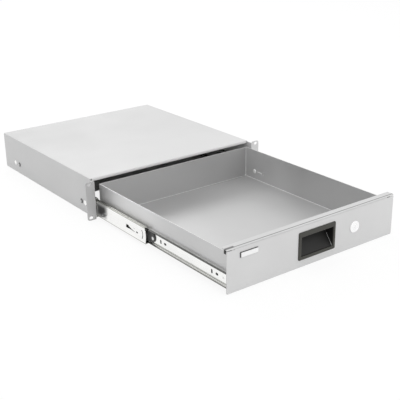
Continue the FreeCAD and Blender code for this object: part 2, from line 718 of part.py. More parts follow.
def balls(depth, rise, radius, front, length):
    """Both rows of balls of one cage."""
    row = []
    for y in ball_ys(front, length):
        for v in (rise, -rise):
            row.append(Part.makeSphere(radius, slide_point(y)(depth, v)))
    return row


def ball_pockets(cage, depth, rise, radius, front, length):
    """Cut the holes that carry the balls."""
    for y in ball_ys(front, length):
        place = slide_point(y)
        for v in (rise, -rise):
            ends = (place(depth, v - OVERSHOOT), place(depth, v + OVERSHOOT))
            cage = cage.cut(cylinder(radius + BALL_CLEARANCE, *ends))
    return cage


def outer_cage():
    """Folded strip that spaces the outer balls."""
    half = CAGE_SHEET / 2
    web = SLIDE_SHEET + (WEB_GAP - CAGE_SHEET) / 2
    end = OUTER_BALL_DEPTH + CAGE_ARM_PAST_BALL
    upper = [
        (web, OUTER_BALL_V + half),
        (end, OUTER_BALL_V + half),
        (end, OUTER_BALL_V - half),
        (web + CAGE_SHEET, OUTER_BALL_V - half),
    ]
    place = slide_point(OUTER_CAGE_FRONT_Y)
    cage = prism(both_halves(upper), place, V(0, OUTER_CAGE_LENGTH, 0))
    return ball_pockets(cage, OUTER_BALL_DEPTH, OUTER_BALL_V, OUTER_BALL_RADIUS,
                        OUTER_CAGE_FRONT_Y, OUTER_CAGE_LENGTH)


def inner_cage():
    """Two angle strips for the inner balls, joined by a bridge at the rear."""
    half = CAGE_SHEET / 2
    web = INTERMEDIATE_WEB_IN + (WEB_GAP - CAGE_SHEET) / 2
    end = INNER_BALL_DEPTH + CAGE_ARM_PAST_BALL
    channel = [
        (web, INNER_BALL_V + half),
        (end, INNER_BALL_V + half),
        (end, INNER_BALL_V - half),
        (web + CAGE_SHEET, INNER_BALL_V - half),
    ]
    place = slide_point(INNER_CAGE_FRONT_Y)
    cage = prism(both_halves(channel), place, V(0, INNER_CAGE_LENGTH, 0))
    rib = INNER_BALL_V - INNER_CAGE_RIB
    front = INNER_CAGE_FRONT_Y - OVERSHOOT
    bridge = INNER_CAGE_FRONT_Y + INNER_CAGE_LENGTH - INNER_CAGE_BRIDGE
    mouth = [(front, rib), (bridge, rib), (bridge, -rib), (front, -rib)]
    cage = cage.cut(web_cutter(mouth, web - WEB_CUT_MARGIN, web + CAGE_SHEET + WEB_CUT_MARGIN))
    return ball_pockets(cage, INNER_BALL_DEPTH, INNER_BALL_V, INNER_BALL_RADIUS,
                        INNER_CAGE_FRONT_Y, INNER_CAGE_LENGTH)


def rear_bumper():
    """Plastic stop in the rear end of the outer member."""
    front = INNER_FRONT_Y + INNER_LENGTH + TRAVEL + CONTACT_GAP
    half = REAR_BUMPER_HALF_HEIGHT
    items = rounded_rectangle(front, front + REAR_BUMPER_LENGTH, -half, half, REAR_BUMPER_CORNER)
    return web_cutter(items, SLIDE_SHEET, REAR_BUMPER_DEPTH)


def release_lever():
    """Moulded lever on the drawer member whose hook meets the stop tab."""
    face = INNER_WEB - LEVER_GAP
    front = face - LEVER_THICKNESS
    y = LEVER_PIVOT_Y
    base = LEVER_HALF_HEIGHT
    arm = LEVER_ARM_HALF_HEIGHT
    tip = y - LEVER_TIP_REACH
    nose = (tip + LEVER_NOSE_RADIUS, -LEVER_NOSE_DROP)
    base_end = y + LEVER_BASE_REACH
    arm_start = base_end + LEVER_ARM_TAPER
    end = LEVER_HOOK_Y + LEVER_HOOK_LENGTH
    items = [
        (tip, -LEVER_NOSE_HEIGHT),
        (nose, LEVER_NOSE_RADIUS, 180, 240),
        (y - LEVER_LOWER_SHOULDER, -base),
        (base_end, -base),
        (arm_start, -arm),
        (end, -arm),
        (end, arm),
        (arm_start, arm),
        (base_end, base),
        (y + LEVER_UPPER_SHOULDER, base),
    ]
    lever = web_cutter(items, front, face)
    hook = [(LEVER_HOOK_Y, -arm), (end, -arm), (end, arm), (LEVER_HOOK_Y, arm)]
    lever = lever.fuse(web_cutter(hook, front - LEVER_HOOK_HEIGHT, front))
    radius = LEVER_PIN_RADIUS + LEVER_PIN_CLEARANCE
    pivot = slide_point(y)
    bore = cylinder(radius, pivot(face + OVERSHOOT, 0), pivot(front - OVERSHOOT, 0))
    return lever.cut(bore).removeSplitter()


def lever_pin():
    """Shouldered rivet that the lever turns on."""
    pivot = slide_point(LEVER_PIVOT_Y)
    neck = INNER_WEB - 2 * LEVER_GAP - LEVER_THICKNESS
    shank = cylinder(LEVER_PIN_RADIUS, pivot(INNER_WEB, 0), pivot(neck, 0))
    head = cylinder(LEVER_PIN_HEAD_RADIUS, pivot(neck, 0), pivot(neck - LEVER_PIN_HEAD, 0))
    return shank.fuse(head)


# ---------------------------------------------------------------- drawer
def lock_section(radius, clearance):
    """Outline items of the lock barrel: a circle with a flat above and below."""
    flat = LOCK_BARREL_FLAT / 2 + clearance
    angle = math.degrees(math.asin(flat / (radius + clearance)))
    centre = (LOCK_X, LOCK_Z)
    return [(centre, radius + clearance, angle, -angle),
            (centre, radius + clearance, 180 + angle, 180 - angle)]


def pull_opening():
    """Opening of the pull as (low x, high x, low z, high z)."""
    half_width = PULL_WIDTH / 2 - PULL_SIDE_BAND
    half_height = PULL_HEIGHT / 2
    return (PULL_X - half_width, PULL_X + half_width,
            PULL_BOTTOM_BAND - half_height, half_height - PULL_TOP_BAND)


def front_cutters():
    """Openings through the panel and the tray front for the pull and the lock."""
    place = front_at(PANEL_FACE - OVERSHOOT)
    depth = V(0, PANEL_SHEET + TRAY_SHEET + 2 * OVERSHOOT, 0)
    low_x, high_x, low_z, high_z = pull_opening()
    grow = PULL_WALL + PULL_CUT_CLEARANCE
    sides = (low_x - grow, high_x + grow, low_z - grow, high_z + grow)
    return [prism(rounded_rectangle(*sides, PULL_CUT_CORNER), place, depth),
            prism(lock_section(LOCK_BARREL_RADIUS, LOCK_HOLE_CLEARANCE), place, depth)]


def front_panel():
    """Front sheet with its top flange, bend groove, bend-end slits and four welded studs."""
    bend = BEND_RADIUS + PANEL_SHEET
    top = PANEL_TOP
    centre = (PANEL_FACE + bend, top - bend)
    profile = [
        (PANEL_BACK, -top),
        (PANEL_FACE, -top),
        (centre, bend, 180, 90),
        (PANEL_FACE + PANEL_FLANGE, top),
        (PANEL_FACE + PANEL_FLANGE, top - PANEL_SHEET),
        (centre, BEND_RADIUS, 90, 180),
    ]
    half = PANEL_WIDTH / 2
    panel = prism(profile, side_at(-half), V(2 * half, 0, 0))
    lower = [edge for edge in panel.Edges if abs(edge.BoundBox.ZMax + top) < 1e-6]
    panel = panel.makeFillet(PANEL_CORNER_RADIUS, [edge for edge in lower if edge.BoundBox.XLength < 1])
    slit_top = top - bend
    wide = (-half - OVERSHOOT, half + OVERSHOOT)
    seam_y = (PANEL_FACE - OVERSHOOT, PANEL_FACE + PANEL_SEAM_DEPTH)
    panel = panel.cut(box(wide, seam_y, (slit_top - PANEL_SEAM_HEIGHT, slit_top)))
    for side in (LEFT, RIGHT):
        x = (side * (half - PANEL_SLIT_LENGTH), side * (half + OVERSHOOT))
        y = (PANEL_FACE - OVERSHOOT, PANEL_BACK + OVERSHOOT)
        panel = panel.cut(box(x, y, (slit_top - PANEL_SLIT_HEIGHT, slit_top)))
    panel = panel.cut(front_cutters())
    for x, z in stud_places():
        ends = (V(x, PANEL_BACK - STUD_ROOT, z), V(x, PANEL_BACK + STUD_LENGTH, z))
        panel = panel.fuse(cylinder(SCREW_RADIUS, *ends))
    return panel.removeSplitter()


def stud_places():
    """Welded stud places as (x, z)."""
    return [(side * STUD_X, z) for side in (LEFT, RIGHT) for z in STUD_ZS]


def panel_nut(x, z):
    """Hexagon nut on a welded stud, inside the tray."""
    seat = PANEL_BACK + TRAY_SHEET
    nut = prism(hexagon(NUT_ACROSS_FLATS, (x, z)), front_at(seat), V(0, NUT_THICKNESS, 0))
    ends = (V(x, seat - OVERSHOOT, z), V(x, seat + NUT_THICKNESS + OVERSHOOT, z))
    return nut.cut(cylinder(SCREW_RADIUS + THREAD_CLEARANCE, *ends))


def lower_edges(solid, z):
    """The four edges of a box's lower face."""
    return [edge for edge in solid.Edges if abs(edge.CenterOfMass.z - z) < 1e-6]


def tray():
    """Folded drawer box with open corner reliefs."""
    y = (PANEL_BACK, TRAY_BACK)
    outer = box((-TRAY_OUT, TRAY_OUT), y, (TRAY_BOTTOM, TRAY_TOP))
    outer = outer.makeFillet(BEND_RADIUS + TRAY_SHEET, lower_edges(outer, TRAY_BOTTOM))
    floor = TRAY_BOTTOM + TRAY_SHEET
    inside = (PANEL_BACK + TRAY_SHEET, TRAY_BACK - TRAY_SHEET)
    inner = box((-TRAY_IN, TRAY_IN), inside, (floor, TRAY_TOP + OVERSHOOT))
    inner = inner.makeFillet(BEND_RADIUS, lower_edges(inner, floor))
    body = outer.cut(inner)
    through = TRAY_SHEET + 2 * OVERSHOOT
    cutters = front_cutters()
    for side in (LEFT, RIGHT):
        for corner_y in inside:
            low = V(side * TRAY_IN, corner_y, TRAY_BOTTOM - OVERSHOOT)
            high = V(side * TRAY_IN, corner_y, floor + TRAY_RELIEF_RADIUS)
            cutters.append(cylinder(TRAY_RELIEF_RADIUS, low, high))
        start = side * (TRAY_IN - OVERSHOOT)
        for screw_y in TRAY_SCREW_YS:
            cutters.append(screw_hole(V(start, screw_y, SLIDE_CENTRE_Z), V(side, 0, 0), through))
        items = slot(TRAY_SLOT_LENGTH / 2, TRAY_SLOT_HEIGHT / 2, (TRAY_SLOT_Y, SLIDE_CENTRE_Z))
        cutters.append(prism(items, side_at(start), V(side * through, 0, 0)))
    for x, z in stud_places():
        cutters.append(screw_hole(V(x, PANEL_BACK - OVERSHOOT, z), V(0, 1, 0), through))
    return body.cut(cutters)


def pull():
    """Recessed pull: framed wedge pocket with snap ribs, one moulding."""
    low_x, high_x, low_z, high_z = pull_opening()
    half_width = PULL_WIDTH / 2
    half_height = PULL_HEIGHT / 2
    front = PANEL_FACE - PULL_BEZEL
    seat = PANEL_BACK + TRAY_SHEET
    sides = (PULL_X - half_width, PULL_X + half_width, -half_height, half_height)
    corners = rounded_rectangle(*sides, PULL_CORNER_RADIUS)
    frame = prism(corners, front_at(front), V(0, PULL_BEZEL, 0))
    rim = [edge for edge in frame.Edges if abs(edge.BoundBox.YMax - front) < 1e-6]
    frame = frame.makeChamfer(PULL_BEZEL_CHAMFER, rim)
    deep = PANEL_FACE + PULL_DEPTH
    wall = PULL_WALL
    body_side = [
        (PANEL_FACE - PULL_BEZEL / 2, low_z - wall),
        (seat + PULL_STEP, low_z - wall),
        (deep, high_z - PULL_BACK_HEIGHT - wall),
        (deep, high_z + wall),
        (PANEL_FACE - PULL_BEZEL / 2, high_z + wall),
    ]
    body = prism(body_side, side_at(low_x - wall), V(high_x - low_x + 2 * wall, 0, 0))
    pocket_side = [
        (front - OVERSHOOT, low_z),
        (PANEL_FACE + PULL_STEP, low_z),
        (deep - wall, high_z - PULL_BACK_HEIGHT),
        (deep - wall, high_z),
        (front - OVERSHOOT, high_z),
    ]
    pocket = prism(pocket_side, side_at(low_x), V(high_x - low_x, 0, 0))
    moulding = frame.fuse(body).cut(pocket)
    clip_low = high_z - PULL_CLIP_WIDTH - PULL_CLIP_DROP
    for side, edge_x in ((LEFT, low_x - wall), (RIGHT, high_x + wall)):
        ramp = [
            (edge_x, seat),
            (edge_x + side * PULL_CLIP_RISE, seat),
            (edge_x + side * PULL_CLIP_RISE, seat + PULL_CLIP_LAND),
            (edge_x, seat + PULL_CLIP_LENGTH),
        ]
        clip = prism(ramp, plan_at(clip_low), V(0, 0, PULL_CLIP_WIDTH))
        moulding = moulding.fuse(clip)
    return moulding.removeSplitter()


def blank_plate():
    """Small blank plate, glued to the panel face."""
    sides = (PLATE_X - PLATE_WIDTH / 2, PLATE_X + PLATE_WIDTH / 2,
             PLATE_Z - PLATE_HEIGHT / 2, PLATE_Z + PLATE_HEIGHT / 2)
    front = PANEL_FACE - PLATE_THICKNESS
    corners = rounded_rectangle(*sides, PLATE_CORNER_RADIUS)
    plate = prism(corners, front_at(front), V(0, PLATE_THICKNESS, 0))
    rim = [edge for edge in plate.Edges if abs(edge.BoundBox.YMax - front) < 1e-6]
    return plate.makeFillet(PLATE_EDGE_RADIUS, rim)


def buffer():
    """Rubber buffer pushed on the tray wall's top edge, right hand."""
    y = (PANEL_BACK, LIP_FRONT - CONTACT_GAP - TRAVEL)
    middle = TRAY_OUT - TRAY_SHEET / 2
    half = BUFFER_WIDTH / 2
    z = (TRAY_TOP - BUFFER_GRIP, TRAY_TOP - BUFFER_GRIP + BUFFER_HEIGHT)
    block = box((middle - half, middle + half), y, z)
    crown = [edge for edge in block.Edges if abs(edge.BoundBox.ZMin - z[1]) < 1e-6]
    crown = [edge for edge in crown if abs(edge.BoundBox.YLength) > 1]
    block = block.makeFillet(BUFFER_CROWN_RADIUS, crown)
    gap = TRAY_SHEET / 2 + BUFFER_SLOT_CLEARANCE
    start = y[0] - OVERSHOOT
    height = (z[0] - OVERSHOOT, TRAY_TOP)
    groove = box((middle - gap, middle + gap), (start, y[1] + OVERSHOOT), height)
    corner = PANEL_BACK + TRAY_SHEET + BUFFER_SLOT_CLEARANCE
    front_wall = box((middle - BUFFER_WIDTH, middle), (start, corner), height)
    return block.cut([groove, front_wall])


# ---------------------------------------------------------------- cam lock
def lock_point(y):
    """Point of the lock axis."""
    return V(LOCK_X, y, LOCK_Z)


def around_lock(half_width, half_height, start, end):
    """Box centred on the lock axis."""
    x = (LOCK_X - half_width, LOCK_X + half_width)
    return box(x, (start, end), (LOCK_Z - half_height, LOCK_Z + half_height))


def lock_barrel():
    """Lock body with its round face and flatted barrel."""
    face = cylinder(LOCK_FACE_RADIUS, lock_point(LOCK_FRONT), lock_point(PANEL_FACE))
    rim = [edge for edge in face.Edges if abs(edge.BoundBox.YMax - LOCK_FRONT) < 1e-6]
    face = face.makeChamfer(LOCK_FACE_CHAMFER, rim)
    start = PANEL_FACE - LOCK_FACE / 2
    barrel = prism(lock_section(LOCK_BARREL_RADIUS, 0), front_at(start), V(0, LOCK_REAR - start, 0))
    bore = LOCK_PLUG_RADIUS + LOCK_PLUG_CLEARANCE
    hole = cylinder(bore, lock_point(LOCK_FRONT - OVERSHOOT), lock_point(LOCK_REAR + OVERSHOOT))
    return face.fuse(barrel).cut(hole).removeSplitter()


def lock_nut():
    """Large hexagon nut behind the tray front."""
    seat = PANEL_BACK + TRAY_SHEET
    back = seat + LOCK_NUT_THICKNESS
    items = hexagon(LOCK_NUT_ACROSS_FLATS, (LOCK_X, LOCK_Z))
    nut = prism(items, front_at(seat), V(0, LOCK_NUT_THICKNESS, 0))
    bore = LOCK_BARREL_RADIUS + THREAD_CLEARANCE
    return nut.cut(cylinder(bore, lock_point(seat - OVERSHOOT), lock_point(back + OVERSHOOT)))


def lock_plug():
    """Turning plug with its keyway in front and its square tail behind."""
    plug = cylinder(LOCK_PLUG_RADIUS, lock_point(LOCK_FRONT), lock_point(LOCK_REAR))
    half = LOCK_TAIL_HALF_WIDTH
    tail_end = CAM_BACK - CAM_CLAMP_GAP
    tail = around_lock(half, half, LOCK_REAR - OVERSHOOT, tail_end)
    key_end = LOCK_FRONT + KEYWAY_DEPTH
    key = around_lock(KEYWAY_WIDTH / 2, KEYWAY_HEIGHT / 2, LOCK_FRONT - OVERSHOOT, key_end)
    ends = (lock_point(tail_end + OVERSHOOT), lock_point(CAM_BACK - CAM_SCREW_LENGTH))
    tap = cylinder(CAM_SCREW_RADIUS + THREAD_CLEARANCE, *ends)
    return plug.fuse(tail).cut([key, tap]).removeSplitter()


def lock_cam():
    """Flat cam pointing to the pull while the lock is open."""
    tip_x = LOCK_X - CAM_REACH + CAM_TIP_RADIUS
    offset = CAM_TIP_HALF - CAM_TIP_RADIUS
    items = [
        ((LOCK_X, LOCK_Z), CAM_WIDTH / 2, 90, -90),
        ((tip_x, LOCK_Z - offset), CAM_TIP_RADIUS, -90, -180),
        ((tip_x, LOCK_Z + offset), CAM_TIP_RADIUS, -180, -270),
    ]
    cam = prism(items, front_at(CAM_FRONT), V(0, CAM_SHEET, 0))
    half = LOCK_TAIL_HALF_WIDTH + CAM_HOLE_CLEARANCE
    return cam.cut(around_lock(half, half, CAM_FRONT - OVERSHOOT, CAM_BACK + OVERSHOOT))


def cam_screw():
    """Screw that clamps the cam on the plug's tail."""
    head_top = lock_point(CAM_BACK + CAM_SCREW_HEAD)
    head = cylinder(CAM_SCREW_HEAD_RADIUS, lock_point(CAM_BACK), head_top)
    tip = CAM_BACK - CAM_SCREW_LENGTH + THREAD_CLEARANCE
    return head.fuse(cylinder(CAM_SCREW_RADIUS, lock_point(CAM_BACK), lock_point(tip)))


# ---------------------------------------------------------------- all nodes
def housing_screws():
    """Screws that hold the right outer member, heads outside."""
    grip = HOUSING_SHEET + SLIDE_SHEET
    return [pan_screw(V(WALL_OUT, y, SLIDE_CENTRE_Z), V(-1, 0, 0), grip) for y in HOUSING_SCREW_YS]


def tray_screws():
    """Screws that hold the right drawer member, heads inside the tray."""
    grip = TRAY_SHEET + SLIDE_SHEET
    return [pan_screw(V(TRAY_IN, y, SLIDE_CENTRE_Z), V(1, 0, 0), grip) for y in TRAY_SCREW_YS]


def with_mirrors(solids):
    """A right-hand set and its mirror images."""
    return solids + [mirrored(solid) for solid in solids]


def main():
    """Write every node."""
    os.makedirs("parts", exist_ok=True)
    export("housing_shell", housing_shell())
    export("rear_panel", rear_panel())
    export("bottom_plate", bottom_plate())
    export("rear_rivets", *[rivet(*place) for place in rivet_places()])
    export("housing_screws", *with_mirrors(housing_screws()))
    export("rear_bumpers", *with_mirrors([rear_bumper()]))
    export_pair("outer_member", outer_member())
    export_pair("intermediate_member", intermediate_member())
    export_pair("inner_member", inner_member())
    export_pair("outer_ball_cage", outer_cage())
    export_pair("inner_ball_cage", inner_cage())
    outer_balls = balls(OUTER_BALL_DEPTH, OUTER_BALL_V, OUTER_BALL_RADIUS,
                        OUTER_CAGE_FRONT_Y, OUTER_CAGE_LENGTH)
    inner_balls = balls(INNER_BALL_DEPTH, INNER_BALL_V, INNER_BALL_RADIUS,
                        INNER_CAGE_FRONT_Y, INNER_CAGE_LENGTH)
    for name, group in (("outer_balls", outer_balls), ("inner_balls", inner_balls)):
        export(name + "_right", *group)
        export(name + "_left", *[mirrored(ball) for ball in group])
    export_pair("release_lever", release_lever())
    export("lever_pins", *with_mirrors([lever_pin()]))
    export("tray", tray())
    export("front_panel", front_panel())
    export("panel_nuts", *[panel_nut(x, z) for x, z in stud_places()])
    export("tray_screws", *with_mirrors(tray_screws()))
    export("rubber_buffers", *with_mirrors([buffer()]))
    export("recessed_pull", pull())
    export("blank_plate", blank_plate())
    export("lock_barrel", lock_barrel())
    export("lock_nut", lock_nut())
    export("lock_plug", lock_plug())
    export("lock_cam", lock_cam())
    export("cam_screw", cam_screw())


main()
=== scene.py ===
"""Sliding rack drawer: its finishes, the small pieces that complete it, its studio and viewpoint."""
import json
import logging
import math
from dataclasses import dataclass
from enum import Enum, IntEnum
from typing import ClassVar

import bpy
from mathutils import Matrix, Vector

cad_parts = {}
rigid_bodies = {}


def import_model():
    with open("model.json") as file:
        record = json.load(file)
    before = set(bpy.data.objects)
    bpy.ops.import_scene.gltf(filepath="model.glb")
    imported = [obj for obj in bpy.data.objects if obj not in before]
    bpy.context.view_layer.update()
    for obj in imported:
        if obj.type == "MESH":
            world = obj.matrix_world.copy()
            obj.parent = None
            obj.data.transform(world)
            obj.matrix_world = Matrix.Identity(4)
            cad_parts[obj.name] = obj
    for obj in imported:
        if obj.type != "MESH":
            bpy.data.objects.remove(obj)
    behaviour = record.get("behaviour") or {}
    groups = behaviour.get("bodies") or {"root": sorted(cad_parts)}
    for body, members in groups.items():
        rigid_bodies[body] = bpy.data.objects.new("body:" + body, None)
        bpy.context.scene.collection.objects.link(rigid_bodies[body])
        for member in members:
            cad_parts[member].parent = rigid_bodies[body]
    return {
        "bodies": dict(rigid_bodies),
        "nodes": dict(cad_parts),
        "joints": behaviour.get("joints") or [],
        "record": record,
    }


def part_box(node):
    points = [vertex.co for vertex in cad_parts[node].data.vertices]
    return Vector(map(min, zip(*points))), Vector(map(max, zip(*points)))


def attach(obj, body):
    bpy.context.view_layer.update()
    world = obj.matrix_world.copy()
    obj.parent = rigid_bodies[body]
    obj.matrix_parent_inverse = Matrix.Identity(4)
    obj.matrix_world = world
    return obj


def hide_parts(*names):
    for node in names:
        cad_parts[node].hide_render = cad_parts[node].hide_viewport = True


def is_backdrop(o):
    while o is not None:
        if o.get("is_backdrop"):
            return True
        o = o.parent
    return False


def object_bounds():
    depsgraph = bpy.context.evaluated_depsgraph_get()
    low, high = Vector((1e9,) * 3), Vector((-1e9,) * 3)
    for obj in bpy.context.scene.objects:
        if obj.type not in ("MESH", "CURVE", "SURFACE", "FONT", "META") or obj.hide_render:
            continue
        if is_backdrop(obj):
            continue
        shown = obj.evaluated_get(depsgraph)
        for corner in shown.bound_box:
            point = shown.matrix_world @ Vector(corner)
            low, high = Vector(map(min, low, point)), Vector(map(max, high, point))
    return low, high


LOG = logging.getLogger("rack_drawer")
MM = 0.001
CRISP = 0.3 * MM

Colour = tuple[float, float, float]
Point = tuple[float, float, float]
Span = tuple[float, float]
ANYWHERE: Span = (-math.inf, math.inf)


# ------------------------------------------------------------------ measures


def mm(*lengths: float) -> tuple[float, ...]:
    """Lengths in millimetres, as metres."""
    return tuple(length * MM for length in lengths)


def below(limit: float) -> Span:
    """Everything up to a limit."""
    return (-math.inf, limit)


def above(limit: float) -> Span:
    """Everything from a limit on."""
    return (limit, math.inf)


def grey(level: float) -> Colour:
    """A neutral tone."""
    return (level, level, level)


WHITE = grey(1.0)


# ------------------------------------------------------------------ node wiring


class Bench:
    """A node tree that is being wired."""

    NOISE_ROUGHNESS = 0.55
    # A Mix node has sockets of every type; these are its factor and its colour sockets.
    MIX_FACTOR, MIX_FIRST, MIX_SECOND, MIX_RESULT = 0, 6, 7, 2

    def __init__(self, tree: bpy.types.NodeTree) -> None:
        """Start from an empty tree of a material, a world or a group."""
        self.tree = tree
        tree.nodes.clear()

    def add(self, kind: str, sockets: dict[str | int, object] | None = None,
            **settings: object) -> bpy.types.Node:
        """Add a node.

        Args:
            kind: The node's type name.
            sockets: Values or source sockets for its inputs, by name or number.
            settings: Properties of the node itself.

        Returns:
            The new node.
        """
        node = self.tree.nodes.new(kind)
        for name, value in settings.items():
            setattr(node, name, value)
        for key, value in (sockets or {}).items():
            self.feed(node.inputs[key], value)
        return node

    def feed(self, socket: bpy.types.NodeSocket, value: object) -> None:
        """Give an input a value, or link a source socket to it.

        Args:
            socket: The input.
            value: A plain value or an output socket.
        """
        if isinstance(value, bpy.types.NodeSocket):
            self.tree.links.new(value, socket)
        elif isinstance(value, tuple) and socket.type == "RGBA":
            socket.default_value = (*value, 1.0)
        else:
            socket.default_value = value

    def calculate(self, kind: str, *numbers: object, clamp: bool = False) -> bpy.types.NodeSocket:
        """Work out a number from others by a Math node's operation."""
        sockets = dict(enumerate(numbers))
        return self.add("ShaderNodeMath", sockets, operation=kind, use_clamp=clamp).outputs[0]

    def ramp(self, value: object, low: float, high: float, start: object = 0.0,
             end: object = 1.0) -> bpy.types.NodeSocket:
        """Map the range from low to high smoothly to the one from start to end."""
        sockets = {"Value": value, "From Min": low, "From Max": high, "To Min": start, "To Max": end}
        return self.add("ShaderNodeMapRange", sockets, interpolation_type="SMOOTHSTEP").outputs[0]

    def stretched(self, vector: object, scale: Point) -> bpy.types.NodeSocket:
        """Scale a vector along its axes."""
        return self.add("ShaderNodeMapping", {"Vector": vector, "Scale": scale}).outputs[0]

    def noise(self, vector: object, scale: object, detail: float = 2.0) -> bpy.types.NodeSocket:
        """Add a noise texture with a scale per metre and a number of octaves."""
        sockets = {"Vector": vector, "Scale": scale, "Detail": detail, "Roughness": self.NOISE_ROUGHNESS}
        return self.add("ShaderNodeTexNoise", sockets).outputs[0]

    def tint(self, share: object, first: object, second: object) -> bpy.types.NodeSocket:
        """Mix two colours by the share of the second one."""
        sockets = {self.MIX_FACTOR: share, self.MIX_FIRST: first, self.MIX_SECOND: second}
        return self.add("ShaderNodeMix", sockets, data_type="RGBA").outputs[self.MIX_RESULT]


@dataclass(frozen=True)
class Zone:
    """A part of a surface, by place, whose tone differs; X is measured from the middle."""

    tone: Colour
    strength: float
    x: Span = ANYWHERE
    y: Span = ANYWHERE
    z: Span = ANYWHERE
    soft: Point = (CRISP, CRISP, CRISP)
    mirrored: bool = True

    def mask(self, bench: Bench, place: object) -> bpy.types.NodeSocket:
        """Wire the zone's mask.

        Args:
            bench: The material's node tree.
            place: The Object coordinates' socket.

        Returns:
            The mask's socket, 0 outside and the strength inside.
        """
        parts = bench.add("ShaderNodeSeparateXYZ", {0: place}).outputs
        across = bench.calculate("ABSOLUTE", parts[0]) if self.mirrored else parts[0]
        result: object = self.strength
        values = (across, parts[1], parts[2])
        for value, limits, soft in zip(values, (self.x, self.y, self.z), self.soft):
            if math.isfinite(limits[0]):
                rise = bench.ramp(value, limits[0] - soft, limits[0] + soft)
                result = bench.calculate("MULTIPLY", rise, result)
            if math.isfinite(limits[1]):
                fall = bench.ramp(value, limits[1] - soft, limits[1] + soft, 1.0, 0.0)
                result = bench.calculate("MULTIPLY", fall, result)
        return result


class Effect(Enum):
    """The surface effects that several finishes share."""

    TONE_DRIFT = "tone drift"
    FINE_GRAIN = "fine grain"
    ROUNDED_EDGES = "rounded edges"
    DRAWN_LINES = "drawn lines"
    HANDLING = "handling marks"


